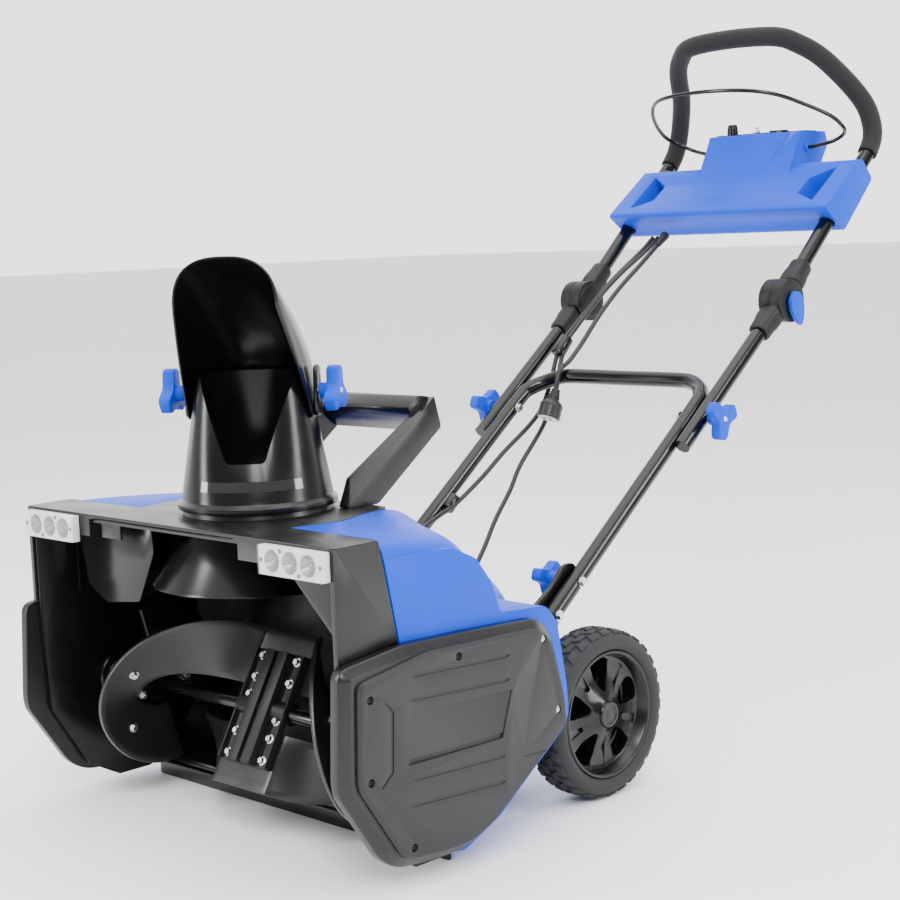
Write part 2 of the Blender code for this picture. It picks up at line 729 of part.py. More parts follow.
# ---- chute ------------------------------------------------------------------------------------

def chute_frame():
    """Local axes of the chute as it stands: across, the way it throws, and up."""
    across = Vector((math.cos(CHUTE_TURN), math.sin(CHUTE_TURN), 0))
    throw = Vector((math.sin(CHUTE_TURN), -math.cos(CHUTE_TURN), 0))
    return across, throw, place(0, CHUTE_AXIS_D, 0)


def chute_body(material):
    """The turning cone on the deck, with a notch cut in the side that it throws from."""
    across, throw, centre = chute_frame()
    profile = [(0.0604, CHUTE_TOP_Z), (0.0634, CHUTE_TOP_Z), (0.0868, 0.392), (0.0872, 0.3865), (0.0925, 0.3825),
               (0.0925, CHUTE_FOOT_Z), (0.0838, CHUTE_FOOT_Z), (0.0838, 0.392)]
    part = turned("chute_body", profile, Matrix.Translation(centre), material, 40)
    notch = [(-0.010, 0.433), (0.033, 0.433), (0.0575, 0.520), (0.066, 0.56), (-0.054, 0.56), (-0.0465, 0.520)]
    cut(part, plate("notch", notch, 0.12, frame(centre + throw * 0.078, across, Z, across.cross(Z)), material))
    return part


CROWN = [(-0.0760, 0, 0.478), (-0.0755, 0, 0.522), (-0.0610, 0, 0.562), (-0.0260, 0, 0.598), (0.0250, 0, 0.632),
         (0.0850, 0, 0.664)]


def chute_deflector(material):
    """The hood that bends the throw forwards: a half tube whose back curls over from upright to level."""
    across, throw, centre = chute_frame()
    rows, columns = 12, 16
    work = bmesh.new()
    grid = []
    crown = smooth_route([Vector(point) for point in CROWN], 0.012)
    for i in range(rows + 1):
        t = i / rows
        rim = centre + throw * (0.014 + 0.071 * t) + Z * (0.478 + 0.129 * t)
        half = 0.0746 - 0.0140 * t ** 1.5
        reach = t * (len(crown) - 1)
        step = min(int(reach), len(crown) - 2)
        back = crown[step].lerp(crown[step + 1], reach - step)
        depth = centre + throw * back.x + Z * back.z - rim
        row = []
        for k in range(columns + 1):
            angle = math.pi * k / columns
            c, s = math.cos(angle), max(math.sin(angle), 0.0)
            row.append(work.verts.new(rim + across * (half * math.copysign(abs(c) ** 0.77, c)) + depth * s ** 0.77))
        grid.append(row)
    for first, second in zip(grid, grid[1:]):
        for k in range(columns):
            work.faces.new((first[k], second[k], second[k + 1], first[k + 1]))
    mesh = bpy.data.meshes.new("chute_deflector")
    work.to_mesh(mesh)
    work.free()
    part = add_part("chute_deflector", mesh, material)
    skin = part.modifiers.new("thickness", "SOLIDIFY")
    skin.thickness = 0.0025
    skin.offset = -1
    return part


def hand_knob(name, centre, axis, reach, material, radius=0.0285, turn=0.0):
    """A three lobed knob whose hub and bolt reach back along the axis towards what it clamps."""
    side = Z.cross(axis).normalized()
    up = axis.cross(side)
    head = lobed(radius, 0.24, turn=turn)
    rings = [
        ([(u * 0.88, v * 0.88) for u, v in head], 0.0070), (head, 0.0050), (head, -0.0050),
        ([(u * 0.88, v * 0.88) for u, v in head], -0.0070), (circle(0.0090), -0.0072),
        (circle(0.0090), -0.0070 - reach * 0.55), (circle(0.0040), -0.0070 - reach * 0.55),
        (circle(0.0040), -0.0070 - reach),
    ]
    return stacked(name, rings, frame(centre, side, up, axis), material)


# ---- handle -----------------------------------------------------------------------------------

def on_tube(d):
    """The (d, z) of a point on the lower handle's line."""
    return d, TUBE_START[1] + TUBE_SLOPE * (d - TUBE_START[0])


def lower_handle(material):
    """The lower tube: two legs that bend into a bar across the machine."""
    half = [(0.0, 0.810, 0.4655), (-0.090, 0.810, 0.4655), (-0.118, 0.8065, 0.4640), (-0.141, 0.795, 0.4565),
            (-0.1545, 0.777, 0.4475)]
    legs = [(-LOWER_TUBE_X, *on_tube(0.752)), (-LOWER_TUBE_X, *on_tube(0.60)), (-LOWER_TUBE_X, *on_tube(0.43))]
    right = [place(*point) for point in reversed(half + legs)]
    left = [Vector((-p.x, p.y, p.z)) for p in reversed(right[:-1])]
    return hollow_tube("lower_handle", right + left, material)


def middle_tube(name, side, material):
    points = [place(side * MIDDLE_TUBE_X, *on_tube(d)) for d in (0.700, 0.80, 0.9005)]
    return hollow_tube(name, points, material)


def handle_bracket(name, side, material):
    """The steel plate on the body's back that each leg of the handle is bolted to."""
    outline = [(0.4153, 0.130), (0.4153, 0.203), (0.470, 0.236), (0.498, 0.262), (0.518, 0.262), (0.524, 0.244),
               (0.478, 0.180), (0.445, 0.140)]
    return side_plate(name, outline, side * 0.1412, side * 0.1470, material)


HANDLE_DIR = Vector((0, 1, TUBE_SLOPE)).normalized()
UPPER_DIR = Vector((0, math.cos(CONSOLE_ANGLE), math.sin(CONSOLE_ANGLE)))


def socket(name, start, end, direction, x, material):
    """A square sleeve along a tube, from start to end metres from the fold axis."""
    centre = place(x, *FOLD_AXIS) + direction * (start + end) / 2
    across = X.cross(direction)
    half = (end - start) / 2
    outline = [(-0.0150, -half), (0.0150, -half), (0.0150, half), (-0.0150, half)]
    part = plate(name, outline, 0.032, frame(centre, across, direction, across.cross(direction)), material)
    return soften(part, 0.004)


def fold_half(name, side, direction, drum_x, bore_start, material):
    """One half of a fold joint: half of the drum and the sleeve that holds its tube."""
    x = side * MIDDLE_TUBE_X
    sign = 1 if direction.y > 0 else -1
    part = socket(name, 0.010, 0.070, direction, x, material)
    x0, x1 = side * drum_x[0], side * drum_x[1]
    join(part, cross_bar("drum", FOLD_DRUM_RADIUS, x0, x1, FOLD_AXIS, material, 28))
    clear = (side * drum_x[1], side * 0.24) if sign > 0 else (side * 0.13, side * drum_x[0])
    cut(part, cross_bar("other_half", FOLD_DRUM_RADIUS + 0.003, clear[0], clear[1], FOLD_AXIS, material, 28))
    start = place(x, *FOLD_AXIS) + direction * bore_start
    cut(part, cylinder("sleeve_bore", TUBE_RADIUS + GAP, start, start + direction * 0.12, material, segments=20))
    return part


def fold_lever(name, side, material):
    """The cam lever on the outside of each fold joint: a teardrop that swings out from its pin."""
    pin = place(side * 0.2035, FOLD_AXIS[0], FOLD_AXIS[1])
    long_axis = Vector((0, 0.30, -0.95)).normalized()
    across = X.cross(long_axis) * side
    outline = [(-0.011, -0.006), (0.0, -0.015), (0.011, -0.006), (0.0125, 0.010), (0.008, 0.026), (0.0, 0.036),
               (-0.008, 0.026), (-0.0125, 0.010)]
    part = plate(name, outline, 0.009, frame(pin, across, long_axis * 1, across.cross(long_axis)), material)
    return soften(part, 0.0022)


def grip_half():
    """The half of the grip loop on the operator's right, from its foot to the middle."""
    return [(-0.1810, 1.1600, 0.7716), (-0.1803, 1.1735, 0.7890), (-0.1775, 1.1800, 0.8110), (-0.1690, 1.1760, 0.8420),
            (-0.1530, 1.1580, 0.8740), (-0.1310, 1.1220, 0.9120), (-0.1070, 1.0990, 0.9330), (-0.0760, 1.0840, 0.9460),
            (0.0, 1.0810, 0.9500)]


def both_sides(half):
    """A route from one side to its mirror image, through the middle."""
    route = [place(*point) for point in half]
    return route + [Vector((-p.x, p.y, p.z)) for p in reversed(route[:-1])]


def upper_handle_route():
    """The whole route of the upper tube, from one fold joint round to the other."""
    x = -MIDDLE_TUBE_X
    start = (x, *(Vector(FOLD_AXIS) + Vector((UPPER_DIR.y, UPPER_DIR.z)) * 0.034))
    half = [start, (x, *CONSOLE_FOOT), (x, *console_point(0.080, 0.0)), (x, *console_point(0.122, 0.0))]
    return smooth_route(both_sides(half + grip_half()), 0.026)


def upper_handle(material):
    """The upper tube: from each fold joint, through the console and round inside the grip."""
    return hollow_tube("upper_handle", upper_handle_route(), material)


def foam_grip(material):
    """The soft sleeve on the grip loop."""
    route = smooth_route(both_sides(grip_half()), 0.026)
    part = tube("foam_grip", route, GRIP_RADIUS, material, as_mesh=True)
    cut(part, tube("grip_bore", upper_handle_route(), TUBE_RADIUS + 0.0005, material, as_mesh=True))
    return part


def console_point(along, out):
    """The (d, z) of a point given along the upper tube from the console's foot, and out from it."""
    c, s = math.cos(CONSOLE_ANGLE), math.sin(CONSOLE_ANGLE)
    return CONSOLE_FOOT[0] + along * c - out * s, CONSOLE_FOOT[1] + along * s + out * c


CONSOLE_SECTION = [(-0.008, 0.036), (0.111, 0.022), (0.112, -0.0195), (0.005, -0.0235)]
POD_SECTION = [(1.094, 0.7440), (1.128, 0.8105), (1.196, 0.8105), (1.203, 0.792), (1.166, 0.735), (1.120, 0.715)]


def console_shell(material):
    """The blue moulding between the tubes, with the switch pod on top; its back is open."""
    outline = [console_point(*corner) for corner in CONSOLE_SECTION]
    part = side_plate("console_shell", outline, -CONSOLE_HALF_WIDTH, CONSOLE_HALF_WIDTH, material)
    join(part, side_plate("pod", POD_SECTION, -0.087, 0.087, material))
    space = [(0.002, 0.0305), (0.105, 0.0180), (0.106, -0.03), (0.010, -0.03)]
    hollow = [console_point(*corner) for corner in space]
    pod_space = [(1.102, 0.7380), (1.1315, 0.8065), (1.192, 0.8065), (1.198, 0.792), (1.161, 0.738), (1.12, 0.715)]
    cut(part, side_plate("console_space", hollow, -0.154, 0.154, material),
        side_plate("pod_space", pod_space, -0.083, 0.083, material))
    top = POD_SECTION[1][1]
    half, width = ROCKER_SIZE[0] + 0.0020, ROCKER_SIZE[1] + 0.0008
    cut(part, cylinder("button_hole", BUTTON_RADIUS + 0.0005, place(BUTTON_X, CONTROL_D, top - 0.02),
                       place(BUTTON_X, CONTROL_D, top + 0.02), material, segments=24),
        box("rocker_window", (ROCKER_X - half, CONTROL_D - width, top - 0.02),
            (ROCKER_X + half, CONTROL_D + width, top + 0.02), material))
    for side in (-1, 1):
        foot = place(side * MIDDLE_TUBE_X, *CONSOLE_FOOT)
        cut(part, cylinder("tube_way", TUBE_RADIUS + GAP + 0.0003, foot - UPPER_DIR * 0.05, foot + UPPER_DIR * 0.18,
                           material, segments=20))
    return part


def console_cover(material):
    """The plate that closes the back of the console."""
    inner = [(0.0105, -0.0188), (0.1050, -0.0160), (0.1050, -0.0190), (0.0105, -0.0218)]
    outline = [console_point(*corner) for corner in inner]
    return side_plate("console_cover", outline, -0.1535, 0.1535, material)


def bail_lever(material):
    """The wire that the operator pulls to the grip, hinged on the sides of the pod."""
    half = [(-0.0874, 1.144, 0.7860), (-0.100, 1.146, 0.787), (-0.128, 1.155, 0.7930), (-0.1500, 1.149, 0.8030),
            (-0.1590, 1.128, 0.8130), (-0.1560, 1.102, 0.8270), (-0.1370, 1.064, 0.8440), (-0.1100, 1.031, 0.8590),
            (-0.0700, 1.008, 0.8670), (0.0, 1.0015, 0.8700)]
    return tube("bail_lever", smooth_route(both_sides(half), 0.026), BAIL_RADIUS, material)


def console_controls(material):
    """The start button and the rocker of the light switch, each in its own hole in the pod's top."""
    top = POD_SECTION[1][1]
    cylinder("start_button", BUTTON_RADIUS, place(BUTTON_X, CONTROL_D, top - 0.006),
             place(BUTTON_X, CONTROL_D, top + 0.0130), material, segments=24)
    half, width = ROCKER_SIZE
    box("light_switch", (ROCKER_X - half, CONTROL_D - width, top - 0.003),
        (ROCKER_X + half, CONTROL_D + width, top + 0.0042), material)


# ---- cables -----------------------------------------------------------------------------------

MOTOR_CABLE = [
    (-0.1270, 1.0435, 0.6600), (-0.1330, 1.021, 0.6400), (-0.1450, 0.980, 0.6080), (-0.1500, 0.933, 0.5750),
    (-0.1530, 0.880, 0.5330), (-0.1530, 0.846, 0.5050), (-0.1480, 0.815, 0.4500), (-0.1440, 0.790, 0.4180),
    (-0.1430, 0.760, 0.3950), (-0.1420, 0.705, 0.3640), (-0.1400, 0.655, 0.3330), (-0.1390, 0.599, 0.3030),
    (-0.1370, 0.555, 0.2880), (-0.1310, 0.505, 0.2690), (-0.1240, 0.460, 0.2370), (-0.1200, 0.4185, 0.1985),
]
LAMP_CABLE = [
    (-0.1170, 1.0435, 0.6600), (-0.1230, 1.019, 0.6400), (-0.1370, 0.977, 0.6090), (-0.1415, 0.930, 0.5760),
    (-0.1440, 0.878, 0.5340), (-0.1440, 0.846, 0.5040), (-0.1350, 0.812, 0.4420), (-0.1320, 0.780, 0.3950),
    (-0.1250, 0.720, 0.3440), (-0.1150, 0.6860, 0.3130), (-0.1000, 0.637, 0.2780), (-0.0800, 0.589, 0.2440),
    (-0.0580, 0.530, 0.2080), (-0.0380, 0.465, 0.1780), (-0.0280, 0.4185, 0.1655),
]
CORD_ROUTE = [
    (-0.1000, 1.0180, 0.6480), (-0.1020, 0.978, 0.6200), (-0.1040, 0.932, 0.5890), (-0.1050, 0.885, 0.5520),
    (-0.1070, 0.8420, 0.5100), (-0.1085, 0.8130, 0.4855), (-0.1090, 0.7985, 0.4790), (-0.1090, 0.7905, 0.4680),
    (-0.1090, 0.7870, 0.4560), (-0.1090, 0.7855, 0.4490),
]
RELIEF_START = Vector((-0.0990, 1.0385, 0.6635))


def cable(name, route, radius, material):
    points = smooth_route([place(*point) for point in route], 0.024)
    return tube(name, points, radius, material, resolution=1)


def cord_pieces(material):
    """The strain relief under the console and the plug at the cord's other end."""
    top = place(*RELIEF_START)
    end = place(*CORD_ROUTE[0])
    away = (end - top).normalized()
    relief = cylinder("cord_relief", 0.0068, top, end - away * GAP, material, radius_end=0.0046, segments=16)
    start = place(*CORD_ROUTE[-1]) + Vector((0, -0.45, -0.89)) * 0.0013
    lean = Vector((0, -0.45, -0.89)).normalized()
    side = X
    up = lean.cross(side)
    profile = [(0.0160, 0.0453), (0.0170, 0.0430), (0.0170, 0.0240), (0.0135, 0.0190), (0.0075, 0.0170),
               (0.0060, 0.0004)]
    rings = [(circle(radius), height) for radius, height in profile]
    plug = stacked("cord_plug", rings, frame(start, side, up, side.cross(up)), material)
    return relief, plug


# ---- the whole machine ------------------------------------------------------------------------

def build():
    start_scene()
    blue = make_material("blue_plastic", BLUE, 0.38)
    gloss = make_material("gloss_black", BLACK, 0.22)
    matte = make_material("matte_charcoal", CHARCOAL, 0.6)
    rubber = make_material("paddle_rubber", (0.015, 0.015, 0.016), 0.45)
    tyre = make_material("tyre_rubber", (0.05, 0.05, 0.052), 0.75)
    steel = make_material("steel", (0.55, 0.55, 0.56), 0.35, 1.0)
    dark_steel = make_material("painted_steel", BLACK, 0.3)
    lamp = make_material("lamp_white", (0.80, 0.80, 0.78), 0.3)
    lens = make_material("lens_clear", (0.85, 0.87, 0.88), 0.1)
    foam = make_material("grip_foam", (0.045, 0.045, 0.046), 0.85)
    cord = make_material("cord_black", (0.02, 0.02, 0.02), 0.5)

    auger_housing(gloss)
    front_cowl(gloss)
    body_shell(blue)
    side_cover("belt_cover", 1, matte)
    side_cover("side_cover", -1, matte)
    scraper_bar(gloss)
    chute_funnel(gloss)
    headlight("headlight_left", 1, lamp, lens)
    headlight("headlight_right", -1, lamp, lens)
    carry_handle(gloss)

    cross_bar("auger_shaft", SHAFT_RADIUS, -0.2780, 0.2950, AUGER_AXIS, dark_steel, 24)
    paddle("paddle_upper", AUGER_LEAN, rubber)
    paddle("paddle_lower", AUGER_LEAN + math.pi, rubber)
    paddle_bracket(dark_steel)
    for name, side in (("left", 1), ("right", -1)):
        end_plate("end_plate_" + name, side, dark_steel)
        bearing("auger_bearing_" + name, side, steel)
    pulley("auger_pulley", AUGER_PULLEY_RADIUS, SHAFT_RADIUS + GAP, along_x(BELT_X, AUGER_AXIS), matte, 36)
    drive_belt(cord)
    motor(steel)
    motor_pulley(steel)

    wheel(1, "wheel_left", tyre, gloss)
    wheel(-1, "wheel_right", tyre, gloss)
    cross_bar("wheel_axle", AXLE_RADIUS, -0.2620, 0.2620, WHEEL_AXIS, steel, 20)

    chute_body(gloss)
    chute_deflector(gloss)
    across, throw, centre = chute_frame()
    for name, side in (("left", 1), ("right", -1)):
        pivot = centre + Z * TILT_Z
        hand_knob("deflector_knob_" + name, pivot + across * side * 0.0975, across * side, 0.0138, blue, 0.0275,
                  math.pi / 2)
        hand_knob("middle_knob_" + name, place(side * 0.2120, *on_tube(0.744)), X * side, 0.0125, blue, 0.0225, 0.35)
        hand_knob("lower_knob_" + name, place(side * 0.1120, *on_tube(0.505)), X * -side, 0.0205, blue, 0.0225, 0.35)

    lower_handle(dark_steel)
    for name, side in (("left", 1), ("right", -1)):
        handle_bracket("handle_bracket_" + name, side, dark_steel)
        middle_tube("middle_tube_" + name, side, dark_steel)
        fold_half("fold_base_" + name, side, HANDLE_DIR * -1, (0.1815, 0.1985), 0.036, matte)
        fold_half("fold_cap_" + name, side, UPPER_DIR, (0.1635, 0.1810), 0.030, matte)
        fold_lever("fold_lever_" + name, side, blue)
    upper_handle(dark_steel)
    foam_grip(foam)
    console_shell(blue)
    console_cover(gloss)
    bail_lever(dark_steel)
    console_controls(gloss)

    cable("motor_cable", MOTOR_CABLE, CABLE_RADIUS, cord)
    cable("lamp_cable", LAMP_CABLE, CABLE_RADIUS, cord)
    cable("power_cord", CORD_ROUTE, CORD_RADIUS, cord)
    cord_pieces(cord)


build()
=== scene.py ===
"""Looks for the single stage electric snowblower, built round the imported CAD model.

Frame: +Z up, the machine faces -Y, +X is the operator's left. Most places are written as (d, z), where d is the
distance behind the housing's front lip and z the height above the ground. Lengths are in metres.
"""

import json
import math

import bmesh
import bpy
from mathutils import Matrix, Vector

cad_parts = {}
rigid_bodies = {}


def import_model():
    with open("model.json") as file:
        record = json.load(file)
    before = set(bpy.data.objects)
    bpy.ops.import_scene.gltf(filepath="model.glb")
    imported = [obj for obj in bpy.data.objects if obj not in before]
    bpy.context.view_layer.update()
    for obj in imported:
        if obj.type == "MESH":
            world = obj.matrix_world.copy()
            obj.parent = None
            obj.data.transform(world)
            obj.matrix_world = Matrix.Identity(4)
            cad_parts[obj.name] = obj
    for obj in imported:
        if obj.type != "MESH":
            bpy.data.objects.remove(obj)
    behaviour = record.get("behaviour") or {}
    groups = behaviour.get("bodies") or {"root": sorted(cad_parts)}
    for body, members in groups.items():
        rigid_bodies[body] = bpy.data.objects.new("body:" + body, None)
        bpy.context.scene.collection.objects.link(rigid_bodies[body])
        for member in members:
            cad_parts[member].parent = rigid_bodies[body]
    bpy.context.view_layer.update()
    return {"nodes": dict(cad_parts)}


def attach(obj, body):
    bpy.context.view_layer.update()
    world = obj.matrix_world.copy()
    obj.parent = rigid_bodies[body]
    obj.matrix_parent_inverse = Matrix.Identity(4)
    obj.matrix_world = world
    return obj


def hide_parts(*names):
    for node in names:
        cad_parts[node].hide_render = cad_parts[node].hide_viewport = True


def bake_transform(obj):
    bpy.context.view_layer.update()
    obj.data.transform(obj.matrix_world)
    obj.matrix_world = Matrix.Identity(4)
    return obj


FRONT = -0.5925
GAP = 0.0003
X, Y, Z = Vector((1, 0, 0)), Vector((0, 1, 0)), Vector((0, 0, 1))

HALF_WIDTH = 0.278
HOUSING_HALF_WIDTH = 0.272
DECK_Z = 0.371
AUGER_AXIS = (0.115, 0.14)
AUGER_LEAN = math.radians(-30)
AUGER_SWEEP = math.radians(225)
AUGER_MIDDLE = 0.02
AUGER_ARM = math.radians(105)
WHEEL_AXIS = (0.439, 0.102)
CHUTE_AXIS_D = 0.1337
CHUTE_TURN = math.radians(33)
TUBE_RADIUS = 0.0108
LEAD_RADIUS = 0.0034
MIDDLE_TUBE_X = 0.181
LOWER_TUBE_X = 0.1585
TUBE_SLOPE = 0.7657
FOLD_AXIS = (0.933, 0.5685)
CONSOLE_FOOT = (1.051, 0.674)
CONSOLE_ANGLE = math.radians(41.8)
POD_TOP = 0.8105
CHUTE_BORE = 0.0815
BEARING_HOLE = 0.012
AXLE_HOLE = 0.0063
WHEEL_ARCH = 0.106
SHAFT_RADIUS = 0.008
SHAFT_BORE = 0.0083
HOOD_PIVOT_Z = 0.507
LAMP_Z = 0.3525
CORD_RADIUS = 0.0036
ROUTE_STEP = 0.01
EDGE_ANGLE = math.radians(30)
SIDES = (("left", 1), ("right", -1))

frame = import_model()


# ---- places and shapes ------------------------------------------------------------------------

def place(x, d, z):
    """The point at x, d behind the front lip and z above the ground."""
    return Vector((x, FRONT + d, z))


def axes(origin, x_axis, y_axis, z_axis):
    """The matrix that carries local axes to the three given directions."""
    rows = Matrix((x_axis, y_axis, z_axis)).transposed().to_4x4()
    return Matrix.Translation(origin) @ rows


def new_object(name, mesh, matrix=None):
    part = bpy.data.objects.new(name, mesh)
    if matrix is not None:
        part.matrix_world = matrix
    bpy.context.scene.collection.objects.link(part)
    return part


def mesh_of(part):
    """The part's final mesh, with its modifiers applied."""
    bpy.context.view_layer.update()
    graph = bpy.context.evaluated_depsgraph_get()
    return bpy.data.meshes.new_from_object(part.evaluated_get(graph))


def from_bmesh(name, work, matrix=None):
    bmesh.ops.recalc_face_normals(work, faces=work.faces)
    mesh = bpy.data.meshes.new(name)
    work.to_mesh(mesh)
    work.free()
    return new_object(name, mesh, matrix)


def plate(name, outline, thickness, matrix):
    """A flat outline in the matrix's XY plane, as thick as stated, centred on that plane."""
    work = bmesh.new()
    half = thickness / 2
    low = [work.verts.new((u, v, -half)) for u, v in outline]
    high = [work.verts.new((u, v, half)) for u, v in outline]
    work.faces.new(low)
    work.faces.new(high)
    for k in range(len(outline)):
        n = (k + 1) % len(outline)
        work.faces.new((low[k], low[n], high[n], high[k]))
    return from_bmesh(name, work, matrix)


def side_plate(name, outline, x0, x1):
    """An outline in (d, z) that reaches from x0 to x1."""
    return plate(name, outline, abs(x1 - x0), axes(Vector(((x0 + x1) / 2, FRONT, 0)), Y, Z, X))


def level_plate(name, outline, z0, z1):
    """An outline in (x, d) that reaches from z0 to z1."""
    return plate(name, outline, abs(z1 - z0), axes(Vector((0, FRONT, (z0 + z1) / 2)), X, Y, Z))


def box(name, low, high):
    """A box between two corners given as (x, d, z)."""
    low, high = place(*low), place(*high)
    work = bmesh.new()
    size = Matrix.Diagonal((*(high - low), 1))
    bmesh.ops.create_cube(work, size=1, matrix=Matrix.Translation((low + high) / 2) @ size)
    return from_bmesh(name, work)


def bar(name, radius, start, end, radius_end=None, segments=32):
    """A round bar or cone between two world points."""
    axis = end - start
    turn = axis.to_track_quat("Z", "Y").to_matrix().to_4x4()
    work = bmesh.new()
    bmesh.ops.create_cone(
        work, cap_ends=True, segments=segments, radius1=radius,
        radius2=radius if radius_end is None else radius_end, depth=axis.length,
    )
    return from_bmesh(name, work, Matrix.Translation((start + end) / 2) @ turn)


def cross_bar(name, radius, x0, x1, axis, segments=32):
    """A bar across the machine, with its axis at the given (d, z)."""
    return bar(name, radius, place(x0, *axis), place(x1, *axis), segments=segments)


def chute_bar(name, radius, z0, z1, segments=96):
    """A bar on the chute's upright axis."""
    return bar(name, radius, place(0, CHUTE_AXIS_D, z0), place(0, CHUTE_AXIS_D, z1), segments=segments)


def circle(radius, steps=48):
    return [(radius * math.cos(math.tau * k / steps), radius * math.sin(math.tau * k / steps))
            for k in range(steps)]


def turned(name, profile, matrix, steps=64):
    """A closed (radius, height) profile turned about the matrix's Z axis."""
    work = bmesh.new()
    rings = []
    for radius, height in profile:
        points = circle(radius, steps) if radius else [(0, 0)]
        rings.append([work.verts.new((u, v, height)) for u, v in points])
    for first, second in zip(rings, rings[1:] + rings[:1]):
        if len(first) == 1 and len(second) == 1:
            continue
        for k in range(steps):
            n = (k + 1) % steps
            corners = [first[k % len(first)], second[k % len(second)], second[n % len(second)],
                       first[n % len(first)]]
            work.faces.new(list(dict.fromkeys(corners)))
    return from_bmesh(name, work, matrix)


def stacked(name, rings, matrix=None):
    """A closed skin over rings of equal count, each ring a list of points."""
    work = bmesh.new()
    rows = [[work.verts.new(point) for point in ring] for ring in rings]
    for first, second in zip(rows, rows[1:]):
        for k in range(len(first)):
            n = (k + 1) % len(first)
            work.faces.new((first[k], second[k], second[n], first[n]))
    work.faces.new(rows[0])
    work.faces.new(rows[-1])
    return from_bmesh(name, work, matrix)


def sheet(name, grid, thickness, offset=0):
    """A thickened skin over rows of points."""
    work = bmesh.new()
    rows = [[work.verts.new(point) for point in row] for row in grid]
    for first, second in zip(rows, rows[1:]):
        for k in range(len(first) - 1):
            work.faces.new((first[k], second[k], second[k + 1], first[k + 1]))
    part = from_bmesh(name, work)
    skin = part.modifiers.new("thickness", "SOLIDIFY")
    skin.thickness = thickness
    skin.offset = offset
    return part


def hermite(a, b, c, d, t):
    """The point at share t between b and c, on a smooth curve through all four."""
    return (b * (2 * t**3 - 3 * t**2 + 1) + (c - a) * 0.5 * (t**3 - 2 * t**2 + t)
            + c * (-2 * t**3 + 3 * t**2) + (d - b) * 0.5 * (t**3 - t**2))


def smooth_route(points, spacing=ROUTE_STEP):
    """Points along a smooth curve through the given ones, about the stated spacing apart."""
    found = []
    for a, b, c, d in zip(points[:1] + points, points, points[1:], points[2:] + points[-1:]):
        steps = max(2, round((c - b).length / spacing))
        found += [hermite(a, b, c, d, k / steps) for k in range(steps)]
    return found + points[-1:]


def wire(name, points, radius, resolution=8):
    """A round tube along world points, with closed ends."""
    curve = bpy.data.curves.new(name, "CURVE")
    curve.dimensions = "3D"
    curve.bevel_depth = radius
    curve.bevel_resolution = resolution
    curve.use_fill_caps = True
    line = curve.splines.new("POLY")
    line.points.add(len(points) - 1)
    for knot, point in zip(line.points, points):
        knot.co = (*point, 1)
    line.use_smooth = True
    return new_object(name, curve)


def arc(centre, radius, start, end, steps):
    """Points on an arc, angles in degrees."""
    found = []
    for k in range(steps + 1):
        angle = math.radians(start + (end - start) * k / steps)
        found.append((centre[0] + radius * math.cos(angle), centre[1] + radius * math.sin(angle)))
    return found


def hull(name, points):
    """The convex solid round a few points."""
    work = bmesh.new()
    for point in points:
        work.verts.new(point)
    bmesh.ops.convex_hull(work, input=work.verts)
    return from_bmesh(name, work)


def rectangle(half_u, half_v, u=0.0):
    return [(u - half_u, -half_v), (u + half_u, -half_v), (u + half_u, half_v), (u - half_u, half_v)]


def rounded(outline, radius, steps=5):
    """The outline with its corners rounded."""
    found = []
    count = len(outline)
    for k in range(count):
        here = Vector(outline[k])
        to_before = Vector(outline[k - 1]) - here
        to_after = Vector(outline[(k + 1) % count]) - here
        reach = min(radius, to_before.length * 0.45, to_after.length * 0.45)
        start = here + to_before.normalized() * reach
        end = here + to_after.normalized() * reach
        for i in range(steps + 1):
            t = i / steps
            point = start * (1 - t) ** 2 + here * 2 * t * (1 - t) + end * t * t
            found.append((point.x, point.y))
    return found


def mirrored(outline):
    """The outline followed by its mirror image, back to the start."""
    return outline + [(-x, d) for x, d in reversed(outline)]


def at_side(x, outline):
    """The world points of a (d, z) outline at x."""
    return [place(x, d, z) for d, z in outline]


def both_sides(half):
    """A route from one side to its mirror image, through the middle."""
    route = [place(*point) for point in half]
    return route + [Vector((-p.x, p.y, p.z)) for p in reversed(route[:-1])]


def combine(part, tool, operation):
    """Cuts or joins by a tool, which is hidden now and goes at the end of the script."""
    step = part.modifiers.new(operation.lower(), "BOOLEAN")
    step.operation = operation
    step.solver = "EXACT"
    step.object = tool
    tool.hide_render = True
    tool["tool"] = True
    return part


def cut(part, *tools):
    for tool in tools:
        combine(part, tool, "DIFFERENCE")
    return part


def join(part, *tools):
    for tool in tools:
        combine(part, tool, "UNION")
    return part


def settle(part):
    """Applies the part's modifiers, so that the tools that shaped it can go."""
    mesh = mesh_of(part)
    part.modifiers.clear()
    part.data = mesh
    return part


def merge(name, parts):
    """One object from several, each keeping its own shape."""
    work = bmesh.new()
    for part in parts:
        mesh = mesh_of(part)
        mesh.transform(part.matrix_world)
        work.from_mesh(mesh)
        bpy.data.objects.remove(part)
    return from_bmesh(name, work)


def show(part, material, body, *nodes, slot=None, edge=0.0, segments=2, angle=34):
    """Rounds the edges, gives the piece its surface and puts it on its CAD body."""
    if part.type == "MESH":
        settle(part)
        if edge:
            bevel = part.modifiers.new("edges", "BEVEL")
            bevel.width = edge
            bevel.segments = segments
            bevel.limit_method = "ANGLE"
            bevel.angle_limit = EDGE_ANGLE
            settle(part)
        part.data.materials.clear()
        part.data.materials.append(material)
        part.data.shade_smooth()
        part.data.set_sharp_from_angle(angle=math.radians(angle))
    else:
        part.data.materials.append(material)
    if body:
        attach(part, body)
    if nodes:
        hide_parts(*nodes)
    return part


# ---- surfaces ---------------------------------------------------------------------------------


def set_inputs(node, values):
    """Gives a node's inputs their fixed values."""
    for name, value in values.items():
        node.inputs[name].default_value = value


